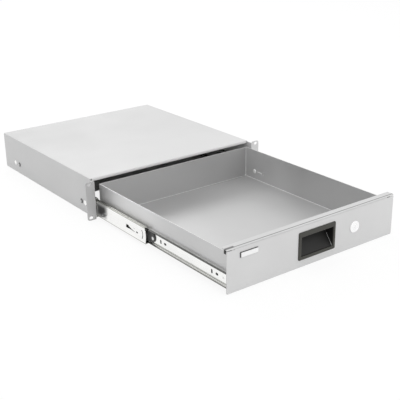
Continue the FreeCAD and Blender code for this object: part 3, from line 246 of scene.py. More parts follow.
class EffectShelf:
    """Builds each shared effect once, as a shader node group."""

    NUMBER = "NodeSocketFloat"
    VECTOR = "NodeSocketVector"
    COLOUR = "NodeSocketColor"

    # The two bands of a noise's value that a ramp spreads over its whole range.
    WIDE_BAND: Span = (0.3, 0.7)
    MIDDLE_BAND: Span = (0.35, 0.65)
    CELL_SHARE = 0.8
    EDGE_MATCH: Span = (0.75, 0.995)
    EDGE_SAMPLES = 6
    CHIP_SCALE = 90.0
    CHIP_LEAST = 0.25
    LINE_STRETCH: Point = (1.0, 0.012, 1.0)
    PATCH_SCALE = 9.0
    PATCH_SHARE = 0.6
    WIPE_STRETCH: Point = (6.0, 20.0, 20.0)

    def __init__(self) -> None:
        """Build every group."""
        self.groups: dict[Effect, bpy.types.NodeTree] = {
            Effect.TONE_DRIFT: self._tone_drift(),
            Effect.FINE_GRAIN: self._fine_grain(),
            Effect.ROUNDED_EDGES: self._rounded_edges(),
            Effect.DRAWN_LINES: self._drawn_lines(),
            Effect.HANDLING: self._handling(),
        }

    def place(self, bench: Bench, effect: Effect, sockets: dict[str | int, object]) -> bpy.types.Node:
        """Put an effect into a material, with values or source sockets for its inputs."""
        return bench.add("ShaderNodeGroup", sockets, node_tree=self.groups[effect])

    def _open(self, effect: Effect, inputs: dict[str, str],
              outputs: dict[str, str]) -> tuple[Bench, bpy.types.Node, bpy.types.Node]:
        """Start a group.

        Args:
            effect: The effect that the group gives.
            inputs: Socket types of its inputs by name.
            outputs: Socket types of its outputs by name.

        Returns:
            The bench, the group's input node and its output node.
        """
        tree = bpy.data.node_groups.new(effect.value, "ShaderNodeTree")
        for name, kind in inputs.items():
            tree.interface.new_socket(name, in_out="INPUT", socket_type=kind)
        for name, kind in outputs.items():
            tree.interface.new_socket(name, in_out="OUTPUT", socket_type=kind)
        bench = Bench(tree)
        return bench, bench.add("NodeGroupInput"), bench.add("NodeGroupOutput")

    def _tone_drift(self) -> bpy.types.NodeTree:
        """Slow change of tone over a sheet.

        Returns:
            The group.
        """
        inputs = {"Vector": self.VECTOR, "Tone": self.COLOUR, "Far Tone": self.COLOUR, "Scale": self.NUMBER}
        bench, given, result = self._open(Effect.TONE_DRIFT, inputs, {"Color": self.COLOUR})
        slow = bench.noise(given.outputs["Vector"], given.outputs["Scale"], detail=3.0)
        share = bench.ramp(slow, *self.WIDE_BAND)
        colour = bench.tint(share, given.outputs["Tone"], given.outputs["Far Tone"])
        bench.feed(result.inputs["Color"], colour)
        return bench.tree

    def _fine_grain(self) -> bpy.types.NodeTree:
        """Fine orange peel or spark grain, as a height.

        Returns:
            The group.
        """
        inputs = {"Vector": self.VECTOR, "Scale": self.NUMBER}
        bench, given, result = self._open(Effect.FINE_GRAIN, inputs, {"Height": self.NUMBER})
        coarse = bench.noise(given.outputs["Vector"], given.outputs["Scale"])
        size = bench.calculate("MULTIPLY", given.outputs["Scale"], self.CELL_SHARE)
        sockets = {"Vector": given.outputs["Vector"], "Scale": size}
        cells = bench.add("ShaderNodeTexVoronoi", sockets, feature="SMOOTH_F1")
        bench.feed(result.inputs["Height"], bench.calculate("MULTIPLY", coarse, cells.outputs["Distance"]))
        return bench.tree

    def _rounded_edges(self) -> bpy.types.NodeTree:
        """Soft normal at sharp edges, and a mask of those edges.

        Returns:
            The group.
        """
        inputs = {"Vector": self.VECTOR, "Radius": self.NUMBER}
        outputs = {"Normal": self.VECTOR, "Edge": self.NUMBER}
        bench, given, result = self._open(Effect.ROUNDED_EDGES, inputs, outputs)
        soft = bench.add("ShaderNodeBevel", {"Radius": given.outputs["Radius"]}, samples=self.EDGE_SAMPLES)
        flat = bench.add("ShaderNodeNewGeometry")
        normals = {0: soft.outputs[0], 1: flat.outputs["Normal"]}
        match = bench.add("ShaderNodeVectorMath", normals, operation="DOT_PRODUCT")
        away = bench.ramp(match.outputs["Value"], *self.EDGE_MATCH, 1.0, 0.0)
        chips = bench.noise(given.outputs["Vector"], self.CHIP_SCALE, detail=3.0)
        broken = bench.ramp(chips, *self.MIDDLE_BAND, self.CHIP_LEAST, 1.0)
        bench.feed(result.inputs["Normal"], soft.outputs[0])
        bench.feed(result.inputs["Edge"], bench.calculate("MULTIPLY", away, broken, clamp=True))
        return bench.tree

    def _drawn_lines(self) -> bpy.types.NodeTree:
        """Lines that rolling and drawing leave along Y.

        Returns:
            The group.
        """
        inputs = {"Vector": self.VECTOR, "Scale": self.NUMBER}
        bench, given, result = self._open(Effect.DRAWN_LINES, inputs, {"Value": self.NUMBER})
        drawn = bench.stretched(given.outputs["Vector"], self.LINE_STRETCH)
        lines = bench.noise(drawn, given.outputs["Scale"], detail=4.0)
        bench.feed(result.inputs["Value"], bench.ramp(lines, *self.WIDE_BAND))
        return bench.tree

    def _handling(self) -> bpy.types.NodeTree:
        """Soft patches that hands and wiping leave in the gloss.

        Returns:
            The group.
        """
        inputs = {"Vector": self.VECTOR, "Low": self.NUMBER, "High": self.NUMBER}
        bench, given, result = self._open(Effect.HANDLING, inputs, {"Roughness": self.NUMBER})
        patches = bench.noise(given.outputs["Vector"], self.PATCH_SCALE, detail=1.0)
        wipes = bench.noise(bench.stretched(given.outputs["Vector"], self.WIPE_STRETCH), 1.0, detail=1.0)
        wiped = bench.calculate("MULTIPLY", wipes, 1.0 - self.PATCH_SHARE)
        both = bench.calculate("MULTIPLY_ADD", patches, self.PATCH_SHARE, wiped)
        mapped = bench.ramp(both, *self.MIDDLE_BAND, given.outputs["Low"], given.outputs["High"])
        bench.feed(result.inputs["Roughness"], mapped)
        return bench.tree


# ------------------------------------------------------------------ finishes


@dataclass(frozen=True)
class Finish:
    """A finish whose tone drifts, with grain, handling marks and zones of painted light and shade, and a
    painted highlight on its edges.
    """

    name: str
    tone: Colour
    far_tone: Colour
    roughness: Span = (0.4, 0.5)
    edge_radius: float = 0.5 * MM
    zones: tuple[Zone, ...] = ()
    grain_scale: float = 900.0
    grain_depth: float = 0.004 * MM
    drift_scale: float = 7.0
    metal: float = 0.0
    specular: float = 0.45
    # The edges' painted highlight: its tone, and how much of it shows, broken up in small patches.
    worn_tone: Colour = grey(0.8)
    wear: float = 0.5

    def make(self, shelf: EffectShelf) -> bpy.types.Material:
        """Build the material.

        Args:
            shelf: The shared effects.

        Returns:
            The material.
        """
        material = bpy.data.materials.new(self.name)
        material.use_nodes = True
        bench = Bench(material.node_tree)
        place = bench.add("ShaderNodeTexCoord").outputs["Object"]
        tones = {"Vector": place, "Tone": self.tone, "Far Tone": self.far_tone, "Scale": self.drift_scale}
        tone = shelf.place(bench, Effect.TONE_DRIFT, tones).outputs["Color"]
        for zone in self.zones:
            tone = bench.tint(zone.mask(bench, place), tone, zone.tone)
        limits = {"Vector": place, "Low": self.roughness[0], "High": self.roughness[1]}
        gloss = shelf.place(bench, Effect.HANDLING, limits).outputs["Roughness"]
        tone, gloss = self.work(bench, shelf, place, tone, gloss)
        edges = shelf.place(bench, Effect.ROUNDED_EDGES, {"Vector": place, "Radius": self.edge_radius})
        # Painted highlight on the edges.
        edge_highlight = bench.calculate("MULTIPLY", edges.outputs["Edge"], self.wear)
        grain = shelf.place(bench, Effect.FINE_GRAIN, {"Vector": place, "Scale": self.grain_scale})
        relief = bench.add("ShaderNodeBump", {"Strength": 1.0, "Distance": self.grain_depth,
                                              "Height": grain.outputs["Height"],
                                              "Normal": edges.outputs["Normal"]})
        shader = bench.add("ShaderNodeBsdfPrincipled", {
            "Base Color": bench.tint(edge_highlight, tone, self.worn_tone), "Metallic": self.metal,
            "Roughness": gloss, "Specular IOR Level": self.specular, "Normal": relief.outputs[0]})
        bench.add("ShaderNodeOutputMaterial", {"Surface": shader.outputs[0]})
        return material

    def work(self, bench: Bench, shelf: EffectShelf, place: bpy.types.NodeSocket, tone: bpy.types.NodeSocket,
             gloss: bpy.types.NodeSocket) -> tuple[bpy.types.NodeSocket, bpy.types.NodeSocket]:
        """Mark tone and gloss as the piece's making does; most finishes have no such marks."""
        return tone, gloss


@dataclass(frozen=True)
class SheetPaint(Finish):
    """Satin powder coat on sheet steel, with a fainter painted highlight on its edges."""

    wear: float = 0.35


@dataclass(frozen=True)
class ZincPlate(Finish):
    """Bright plate on rolled or turned metal, with the lines of its drawing."""

    grain_scale: float = 1400.0
    drift_scale: float = 25.0
    metal: float = 1.0
    specular: float = 0.5
    # A nearly white painted highlight on the edges.
    worn_tone: Colour = grey(0.97)
    line_scale: float = 900.0
    line_tone: Colour = (0.35, 0.36, 0.38)
    line_dark: float = 0.12
    line_roughness: float = 0.06

    def work(self, bench: Bench, shelf: EffectShelf, place: bpy.types.NodeSocket, tone: bpy.types.NodeSocket,
             gloss: bpy.types.NodeSocket) -> tuple[bpy.types.NodeSocket, bpy.types.NodeSocket]:
        """Draw the lines.

        Args:
            bench: The material's node tree.
            shelf: The shared effects.
            place: The Object coordinates' socket.
            tone: The tone so far.
            gloss: The roughness so far.

        Returns:
            The tone and the roughness with the lines in them.
        """
        lines = shelf.place(bench, Effect.DRAWN_LINES, {"Vector": place, "Scale": self.line_scale})
        dark = bench.calculate("MULTIPLY", lines.outputs["Value"], self.line_dark)
        rougher = bench.calculate("MULTIPLY_ADD", lines.outputs["Value"], self.line_roughness, gloss)
        return bench.tint(dark, tone, self.line_tone), rougher


@dataclass(frozen=True)
class BlackMoulding(Finish):
    """Spark-grained black plastic or rubber, a little paler on its edges by a painted highlight."""

    grain_scale: float = 2200.0
    grain_depth: float = 0.05 * MM
    drift_scale: float = 40.0
    worn_tone: Colour = grey(0.16)


SLIDE_CENTRE = -20.3 * MM
# How strong and how warm the painted shade on the slides' raceway lips is.
RACEWAY_SHADE_STRENGTH = 0.92
RACEWAY_SHADE_WARMTH = 0.93
# Where the side screws' heads lie across the drawer, and the half size of the painted highlight in their
# middle.
SCREW_HEAD_X: Span = mm(220.2, 230.0)
SCREW_HIGHLIGHT_HALF = 2.2 * MM


def track(level: float, across: Span, near: float, far: float) -> tuple[Zone, Zone]:
    """Painted shade, warm-tinted, on the lips of a slide member's two raceways.

    Args:
        level: How dark they are.
        across: Where they lie, as a distance from the drawer's middle.
        near: Where they start, as a distance from the slide's centre.
        far: Where they end.

    Returns:
        The lower and the upper lip.
    """
    tone = (level, level, RACEWAY_SHADE_WARMTH * level)
    return (Zone(tone, RACEWAY_SHADE_STRENGTH, across, z=(SLIDE_CENTRE - far, SLIDE_CENTRE - near)),
            Zone(tone, RACEWAY_SHADE_STRENGTH, across, z=(SLIDE_CENTRE + near, SLIDE_CENTRE + far)))


def screw_recess(place: float) -> Zone:
    """A painted highlight in the middle of the head of a side screw that sits at a place along the drawer.
    """
    return Zone((0.95, 0.95, 0.94), 1.0, SCREW_HEAD_X, (place - SCREW_HIGHLIGHT_HALF, place + SCREW_HIGHLIGHT_HALF),
                (SLIDE_CENTRE - SCREW_HIGHLIGHT_HALF, SLIDE_CENTRE + SCREW_HIGHLIGHT_HALF), (CRISP, 0.5 * MM, 0.5 * MM))


# Where light, shade or a hollow changes a finish's tone, piece by piece.

# Painted shade on the left ear's front, darker towards its top.
LEFT_EAR_PAINTED_SHADE = Zone(grey(0.47), 0.95, mm(-250.0, -219.0), mm(-3.0, 3.0), mm(2.0, 200.0),
                (CRISP, CRISP, 55.0 * MM), mirrored=False)
# Painted light and shade on the housing's roof: darker at the rear, lighter at the front towards the right.
ROOF_Z: Span = mm(43.2, 50.0)
ROOF_SOFT: Point = (300.0 * MM, 250.0 * MM, CRISP)
ROOF_REAR_PAINTED_SHADE = Zone(grey(0.6), 1.0, below(50.0 * MM), above(200.0 * MM), ROOF_Z, ROOF_SOFT, mirrored=False)
ROOF_FRONT_PAINTED_LIGHT = Zone(grey(0.785), 1.0, above(-50.0 * MM), below(100.0 * MM), ROOF_Z, ROOF_SOFT, mirrored=False)

# Painted shade along the panel's top fold, and a painted shadow under the flange's left end.
FLANGE_Z: Span = mm(42.5, 46.0)
FLANGE_FOLD_PAINTED_SHADE = Zone(grey(0.14), 0.85, y=mm(-446.5, -444.2), z=FLANGE_Z)
FLANGE_END_PAINTED_SHADOW = Zone(grey(0.09), 0.85, mm(-217.0, -196.0), mm(-446.5, -440.5), FLANGE_Z,
                  (0.8 * MM, 0.8 * MM, CRISP), mirrored=False)

# Painted shade on the tray's inner right and back walls, on its floor at the rear and on its outsides behind
# the slide members; painted light on its left wall's outside.
ALONG_WALL: Point = (CRISP, 50.0 * MM, CRISP)
TRAY_RIGHT_WALL_PAINTED_SHADE = Zone(grey(0.5), 1.0, mm(204.0, 205.5), below(-150.0 * MM), soft=ALONG_WALL, mirrored=False)
TRAY_BACK_WALL_PAINTED_SHADE = Zone(grey(0.49), 1.0, mm(-204.5, 204.5), mm(-2.0, 20.0), mirrored=False)
TRAY_FLOOR_REAR_PAINTED_SHADE = Zone(grey(0.49), 1.0, below(70.0 * MM), mm(-100.0, 10.0), mm(-42.5, -38.5),
                       (90.0 * MM, 50.0 * MM, CRISP), mirrored=False)
TRAY_LEFT_OUTSIDE_PAINTED_LIGHT = Zone(grey(0.72), 1.0, mm(-210.0, -205.8), mm(-220.0, -60.0), soft=ALONG_WALL,
                         mirrored=False)
BEHIND_MEMBERS_PAINTED_SHADE = Zone(grey(0.04), 1.0, mm(205.8, 207.0), mm(-435.0, -30.0), mm(-29.5, -11.0))

# Painted shade that makes the pull's pocket nearly black.
PULL_POCKET_PAINTED_SHADE = Zone(grey(0.008), 0.92, y=mm(-448.5, -300.0), soft=(CRISP, 1.5 * MM, CRISP))
# Painted shade on the side screws' heads.
SCREW_HEADS_PAINTED_SHADE = Zone(grey(0.2), 0.9, SCREW_HEAD_X)
INNER_MEMBER_X: Span = mm(208.3, 213.2)
MIDDLE_MEMBER_X: Span = mm(208.3, 217.2)
# A painted dark reflection on the left slide's web, just in front of the housing's mouth.
LEFT_MOUTH_PAINTED_REFLECTION = Zone(grey(0.03), 0.96, mm(-217.5, -215.0), mm(-36.0, -1.0), mm(-33.0, -7.0),
                        (CRISP, 9.0 * MM, 7.0 * MM), mirrored=False)

HOUSING_ZONES = (LEFT_EAR_PAINTED_SHADE, ROOF_REAR_PAINTED_SHADE, ROOF_FRONT_PAINTED_LIGHT)
PANEL_ZONES = (FLANGE_FOLD_PAINTED_SHADE, FLANGE_END_PAINTED_SHADOW)
TRAY_ZONES = (TRAY_RIGHT_WALL_PAINTED_SHADE, TRAY_BACK_WALL_PAINTED_SHADE, TRAY_FLOOR_REAR_PAINTED_SHADE, TRAY_LEFT_OUTSIDE_PAINTED_LIGHT, BEHIND_MEMBERS_PAINTED_SHADE)
SCREW_ZONES = (SCREW_HEADS_PAINTED_SHADE, screw_recess(62.0 * MM), screw_recess(379.0 * MM))
# Painted shade on the slide members' raceway lips, and a painted dark reflection on the left one.
SLIDE_ZONES = (*track(0.09, INNER_MEMBER_X, *mm(12.9, 15.0)), *track(0.55, INNER_MEMBER_X, *mm(10.8, 12.9)),
               *track(0.45, MIDDLE_MEMBER_X, *mm(16.0, 20.0)), LEFT_MOUTH_PAINTED_REFLECTION)


class FinishRack:
    """All finishes of the drawer by material slot."""

    def __init__(self, shelf: EffectShelf) -> None:
        """Make every finish.

        Args:
            shelf: The shared effects.
        """
        coat, far_coat = grey(0.683), grey(0.71)
        white, far_white = grey(0.97), grey(0.95)
        finishes = (
            SheetPaint("housing_sheet", coat, far_coat, (0.4, 0.48), zones=HOUSING_ZONES),
            SheetPaint("panel_sheet", coat, far_coat, (0.36, 0.44), zones=PANEL_ZONES),
            # The tray's edges and folds get a strong, white painted highlight.
            SheetPaint("tray_sheet", grey(0.612), grey(0.632), (0.35, 0.39), 0.9 * MM, TRAY_ZONES,
                       grain_depth=0.001 * MM, metal=0.62, worn_tone=white, wear=1.0),
            ZincPlate("zinc_slide", (0.96, 0.96, 0.945), (0.93, 0.93, 0.92), (0.1, 0.16), 0.25 * MM,
                      SLIDE_ZONES, line_dark=0.06),
            ZincPlate("zinc_screw", (0.94, 0.94, 0.93), (0.88, 0.88, 0.87), (0.24, 0.34), 0.15 * MM,
                      SCREW_ZONES, metal=0.5),
            ZincPlate("bright_rivet", (0.78, 0.785, 0.78), (0.7, 0.705, 0.7), (0.22, 0.32), 0.15 * MM),
            ZincPlate("cage_strip", (0.7, 0.7, 0.69), (0.62, 0.62, 0.61), (0.24, 0.34), 0.1 * MM),
            ZincPlate("bearing_ball", grey(0.8), grey(0.76), (0.04, 0.07), 0.05 * MM, line_dark=0.0),
            ZincPlate("lock_chrome", white, far_white, (0.05, 0.1), 0.3 * MM, line_dark=0.02),
            ZincPlate("plate_metal", white, far_white, (0.25, 0.35), 0.3 * MM, line_dark=0.03, metal=0.1),
            # The pull has painted shade in its pocket and a paler painted highlight on its edges.
            BlackMoulding("pull_plastic", (0.045, 0.044, 0.038), (0.052, 0.051, 0.043), (0.42, 0.52),
                          0.6 * MM, (PULL_POCKET_PAINTED_SHADE,), worn_tone=(0.3, 0.3, 0.31), specular=0.35),
            BlackMoulding("black_plastic", grey(0.08), (0.095, 0.095, 0.094), (0.4, 0.5), specular=0.4),
            BlackMoulding("black_rubber", grey(0.05), grey(0.06), (0.65, 0.8), specular=0.3),
        )
        self.materials = {finish.name: finish.make(shelf) for finish in finishes}

    def dress(self, piece: bpy.types.Object, slot: str) -> None:
        """Give a CAD node's object or a new piece the finish of a material slot."""
        piece.data.materials.clear()
        piece.data.materials.append(self.materials[slot])


# ------------------------------------------------------------------ studio


@dataclass
class SoftBox:
    """One large soft light."""

    name: str
    place: Point
    aim: Point
    width: float
    height: float
    power: float

    def build(self) -> bpy.types.Object:
        """Place the light.

        Returns:
            The light's object.
        """
        data = bpy.data.lights.new(self.name, "AREA")
        data.shape = "RECTANGLE"
        data.size = self.width
        data.size_y = self.height
        data.energy = self.power
        light = bpy.data.objects.new(self.name, data)
        light.location = self.place
        light.rotation_euler = (Vector(self.aim) - Vector(self.place)).to_track_quat("-Z", "Y").to_euler()
        bpy.context.scene.collection.objects.link(light)
        return light


@dataclass
class Studio:
    """Pale floor, white surroundings and soft lights."""

    floor_gap: float = 0.3 * MM
    floor_size: float = 14.0
    floor_glow: float = 0.86
    floor_albedo: float = 0.16
    floor_paper: float = 0.85
    ambient: float = 0.7
    boxes: tuple[SoftBox, ...] = (
        SoftBox("overhead_box", (0.0, -0.1, 2.6), (0.0, 0.0, 0.0), 2.6, 2.6, 12.0),
        SoftBox("front_box", (0.5, -3.2, 0.6), (0.0, -0.3, 0.0), 2.4, 0.9, 17.5),
        SoftBox("rear_box", (0.6, 3.0, 1.8), (0.0, -0.2, 0.0), 2.2, 1.4, 25.0),
    )

    def build(self, lowest: float) -> None:
        """Build the studio under the object.

        Args:
            lowest: Height of the object's lowest point.
        """
        self._floor(lowest - self.floor_gap)
        self._world()
        for box in self.boxes:
            box.build()

    def _floor(self, height: float) -> None:
        """Lay the floor.

        Args:
            height: Its height.
        """
        deselect()
        bpy.ops.mesh.primitive_plane_add(size=self.floor_size, location=(0.0, 0.0, height))
        floor = bpy.context.active_object
        floor.name = "studio_floor"
        bpy.ops.object.transform_apply(location=True, rotation=True, scale=True)
        material = bpy.data.materials.new("studio_floor")
        material.use_nodes = True
        bench = Bench(material.node_tree)
        path = bench.add("ShaderNodeLightPath")
        seen = bench.calculate("MAXIMUM", path.outputs["Is Camera Ray"], path.outputs["Is Glossy Ray"])
        glow = bench.add("ShaderNodeEmission", {"Color": WHITE, "Strength": self.floor_glow})
        shaded = bench.add("ShaderNodeBsdfDiffuse", {"Color": grey(self.floor_albedo)})
        backdrop = bench.add("ShaderNodeAddShader", {0: glow.outputs[0], 1: shaded.outputs[0]})
        paper = bench.add("ShaderNodeBsdfDiffuse", {"Color": grey(self.floor_paper)})
        both = bench.add("ShaderNodeMixShader", {0: seen, 1: paper.outputs[0], 2: backdrop.outputs[0]})
        bench.add("ShaderNodeOutputMaterial", {"Surface": both.outputs[0]})
        floor.data.materials.append(material)
        floor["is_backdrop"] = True

    def _world(self) -> None:
        """White to the eye and in reflections, dimmer as a light."""
        world = bpy.data.worlds.new("studio")
        bpy.context.scene.world = world
        world.use_nodes = True
        bench = Bench(world.node_tree)
        path = bench.add("ShaderNodeLightPath")
        seen = bench.calculate("MAXIMUM", path.outputs["Is Camera Ray"], path.outputs["Is Glossy Ray"])
        seen = bench.calculate("MAXIMUM", seen, path.outputs["Is Transmission Ray"])
        brightness = {"Value": seen, "To Min": self.ambient, "To Max": 1.0}
        strength = bench.add("ShaderNodeMapRange", brightness).outputs[0]
        sky = bench.add("ShaderNodeBackground", {"Color": WHITE, "Strength": strength})
        bench.add("ShaderNodeOutputWorld", {"Surface": sky.outputs[0]})


@dataclass
class Viewpoint:
    """The camera that sees the drawer from its front left, from above; its angles are in degrees."""

    place: Point = (-1.0182, -1.4553, 0.6453)
    heading: float = -36.55
    dip: float = 21.52
    roll: float = -0.83
    lens: float = 73.69
    sensor: float = 36.0
    nearest: float = 0.01
    farthest: float = 60.0

    def build(self) -> bpy.types.Object:
        """Place the camera.

        Returns:
            The camera's object.
        """
        turn, down = math.radians(self.heading), math.radians(self.dip)
        ahead = Vector((-math.sin(turn) * math.cos(down), math.cos(turn) * math.cos(down), -math.sin(down)))
        level = Vector((math.cos(turn), math.sin(turn), 0.0))
        upright = level.cross(ahead)
        tilt = math.radians(self.roll)
        right = level * math.cos(tilt) + upright * math.sin(tilt)
        up = upright * math.cos(tilt) - level * math.sin(tilt)
        data = bpy.data.cameras.new("viewpoint")
        data.lens = self.lens
        data.sensor_width = self.sensor
        data.clip_start = self.nearest
        data.clip_end = self.farthest
        camera = bpy.data.objects.new("viewpoint", data)
        axes = Matrix((right, up, -ahead)).transposed().to_4x4()
        camera.matrix_world = Matrix.Translation(Vector(self.place)) @ axes
        bpy.context.scene.collection.objects.link(camera)
        bpy.context.scene.camera = camera
        return camera


# ------------------------------------------------------------------ shaping


def deselect() -> None:
    """Leave nothing selected."""
    bpy.ops.object.select_all(action="DESELECT")


class Pick(Enum):
    """What an edit step works on, as Blender's vertex, edge and face select modes."""

    FACES = (False, False, True)
    EDGES = (False, True, False)


class Side(Enum):
    """A side of the drawer, as the direction away from its middle."""

    LEFT = -1.0
    RIGHT = 1.0

    @property
    def label(self) -> str:
        """The side's name as the nodes spell it."""
        return self.name.lower()


class Axis(IntEnum):
    """The frame's axes."""

    X = 0
    Y = 1
    Z = 2


@dataclass(frozen=True)
class Where:
    """Chooses faces by place and normal, or edges by place and direction."""

    axis: Axis | None = None
    way: float = 0.0
    x: Span = ANYWHERE
    y: Span = ANYWHERE
    z: Span = ANYWHERE

    ALIGNED: ClassVar[float] = 0.9

    def takes(self, middle: Vector, direction: Vector) -> bool:
        """Tell whether a face or an edge is chosen.

        Args:
            middle: Its middle.
            direction: Its normal or the edge's direction.

        Returns:
            Whether it lies in the spans and follows the axis, either way where way is 0.
        """
        inside = all(low <= at <= high for (low, high), at in zip((self.x, self.y, self.z), middle))
        if self.axis is None:
            return inside
        along = direction[self.axis]
        return inside and (along * self.way if self.way else abs(along)) > self.ALIGNED


class Shape:
    """One piece that is modelled step by step in edit mode."""

    SMOOTH_BELOW = math.radians(35.0)
    WELD = 1e-6
    ACROSS: Point = (0.0, math.radians(90.0), 0.0)
    DISC_SIDES = 40

    def __init__(self, name: str) -> None:
        """Take over the primitive that was just added.

        Args:
            name: The piece's name.
        """
        self.piece = bpy.context.active_object
        self.piece.name = name
        self.piece.data.name = name
        bpy.ops.object.transform_apply(location=True, rotation=True, scale=True)

    @classmethod
    def block(cls, name: str, low: Point, high: Point) -> "Shape":
        """Start from a block between two corners.

        Args:
            name: The piece's name.
            low: The lowest corner.
            high: The highest corner.

        Returns:
            The shape.
        """
        deselect()
        middle = tuple((a + b) / 2 for a, b in zip(low, high))
        bpy.ops.mesh.primitive_cube_add(size=1.0, location=middle)
        bpy.context.active_object.scale = tuple(b - a for a, b in zip(low, high))
        return cls(name)

    @classmethod
    def rod(cls, name: str, centre: Point, radius: float, length: float, turn: Point,
            sides: int) -> "Shape":
        """Start from a rod.

        Args:
            name: The piece's name.
            centre: Its middle.
            radius: Its radius.
            length: Its length.
            turn: Its rotation about X, Y and Z.
            sides: How many sides it has.

        Returns:
            The shape.
        """
        deselect()
        bpy.ops.mesh.primitive_cylinder_add(vertices=sides, radius=radius, depth=length,
                                            location=centre, rotation=turn)
        return cls(name)

    @classmethod
    def stepped_disc(cls, name: str, foot: Point, way: float, radius: float, sheet: float, rim: float,
                     step: float) -> "Shape":
        """Make a disc that lies on a side wall, with a step on its outer face.

        Args:
            name: The piece's name.
            foot: The middle of its face on the wall.
            way: The direction away from the wall, -1 or 1.
            radius: Its radius.
            sheet: Its thickness.
            rim: Width of the ring that is left round the step.
            step: How far the step rises; below 0 it is sunk.

        Returns:
            The shape.
        """
        x, y, z = foot
        disc = cls.rod(name, (x + way * sheet / 2, y, z), radius, sheet, cls.ACROSS, cls.DISC_SIDES)
        disc.pick(Pick.FACES, Where(Axis.X, way)).inset(rim)
        return disc.pull((way * step, 0.0, 0.0))

    def pick(self, kind: Pick, *places: Where) -> "Shape":
        """Select faces or edges, in edit mode.

        Args:
            kind: Faces or edges.
            places: What is chosen, by one of them or by several.

        Returns:
            The shape itself.
        """
        bpy.ops.object.mode_set(mode="OBJECT")
        bpy.context.tool_settings.mesh_select_mode = kind.value
        mesh = self.piece.data
        for group in (mesh.vertices, mesh.edges, mesh.polygons):
            for item in group:
                item.select = False
        if kind is Pick.FACES:
            for face in mesh.polygons:
                face.select = any(where.takes(face.center, face.normal) for where in places)
        else:
            for edge in mesh.edges:
                start, end = (mesh.vertices[index].co for index in edge.vertices)
                middle, direction = (start + end) / 2, (end - start).normalized()
                edge.select = any(where.takes(middle, direction) for where in places)
        bpy.ops.object.mode_set(mode="EDIT")
        return self

    def inset(self, width: float) -> "Shape":
        """Inset the selected faces."""
        bpy.ops.mesh.inset(thickness=width)
        return self

    def pull(self, way: Point) -> "Shape":
        """Extrude the selected faces by a vector."""
        bpy.ops.mesh.extrude_region_move(TRANSFORM_OT_translate={"value": way})
        return self

    def taper(self, factors: Point, centre: Point) -> "Shape":
        """Scale what is selected about a point."""
        bpy.ops.transform.resize(value=factors, center_override=centre)
        return self

    def round(self, width: float, steps: int = 3) -> "Shape":
        """Bevel the selected edges."""
        bpy.ops.mesh.bevel(offset=width, segments=steps, affect="EDGES")
        return self

    def finish(self, rack: FinishRack, body: str, slot: str,
               replaced: tuple[str, ...] = ()) -> bpy.types.Object:
        """Close the modelling, dress the piece and let it ride on a body.

        Args:
            rack: The finishes.
            body: The body that the piece moves with.
            slot: Its material slot.
            replaced: The CAD nodes that it stands for.

        Returns:
            The finished object.
        """
        bpy.ops.mesh.select_all(action="SELECT")
        bpy.ops.mesh.remove_doubles(threshold=self.WELD)
        bpy.ops.mesh.normals_make_consistent(inside=False)
        bpy.ops.object.mode_set(mode="OBJECT")
        bpy.ops.object.shade_smooth_by_angle(angle=self.SMOOTH_BELOW)
        rack.dress(self.piece, slot)
        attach(self.piece, body)
        if replaced:
            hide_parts(*replaced)
        deselect()
        return self.piece


# ------------------------------------------------------------------ sub-assemblies


@dataclass
class Assembly:
    """A group of the drawer's pieces that is dressed and completed together."""

    frame: dict
    rack: FinishRack

    NODES: ClassVar[tuple[str, ...]] = ()

    def dress(self) -> tuple[str, ...]:
        """Give each CAD node of the group the finish of its slot.

        Returns:
            The dressed nodes' names.
        """
        slots = {part["node"]: part["material_slot"] for part in self.frame["record"]["subparts"]}
        for node in self.NODES:
            self.rack.dress(self.frame["nodes"][node], slots[node])
        return self.NODES

    def build(self) -> list[bpy.types.Object]:
        """Model the group's own new pieces; a group without any has none."""
        return []


@dataclass(frozen=True)
class ScrewRow:
    """The heads of two screws in a row along the drawer, as their CAD box gives them."""

    head: float
    front: float
    rear: float
    height: float

    @classmethod
    def of(cls, low: Vector, high: Vector) -> "ScrewRow":
        """Read the row off its box's lowest and highest corner."""
        head = (high.z - low.z) / 2
        return cls(head, low.y + head, high.y - head, (high.z + low.z) / 2)


@dataclass
class Housing(Assembly):
    """The fixed case with its rack ears, back and bottom, screws and rivets."""

    wall_sheet: float = 1.5 * MM
    washer_past_head: float = 1.3 * MM
    washer_sheet: float = 0.5 * MM
    washer_dish: float = 0.3 * MM
    button_radius: float = 5.6 * MM
    button_rise: float = 0.7 * MM
    button_rim: float = 1.6 * MM
    front_hole_offset: float = -16.0 * MM
    rear_hole_offset: float = 23.0 * MM

    NODES: ClassVar[tuple[str, ...]] = ("housing_shell", "rear_panel", "bottom_plate", "rear_rivets",
                                        "housing_screws", "rear_bumpers")

    def build(self) -> list[bpy.types.Object]:
        """Put a dark dished washer under each side screw and a bright button on each access hole.

        Returns:
            The washers and buttons.
        """
        screws = ScrewRow.of(*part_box("housing_screws"))
        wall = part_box("outer_member_right")[1].x + self.wall_sheet
        radius, step = screws.head + self.washer_past_head, self.button_rise / 2
        pieces = []
        for side in Side:
            way, x = side.value, side.value * wall
            for end, y, offset in (("front", screws.front, self.front_hole_offset),
                                   ("rear", screws.rear, self.rear_hole_offset)):
                washer = Shape.stepped_disc(f"side_washer_{side.label}_{end}", (x, y, screws.height), way,
                                            radius, self.washer_sheet, self.washer_past_head,
                                            -self.washer_dish)
                pieces.append(washer.finish(self.rack, "housing", "black_rubber"))
                hole = (x, y + offset, screws.height)
                button = Shape.stepped_disc(f"hole_button_{side.label}_{end}", hole, way,
                                            self.button_radius, step, self.button_rim, step)
                pieces.append(button.finish(self.rack, "housing", "zinc_slide"))
        return pieces


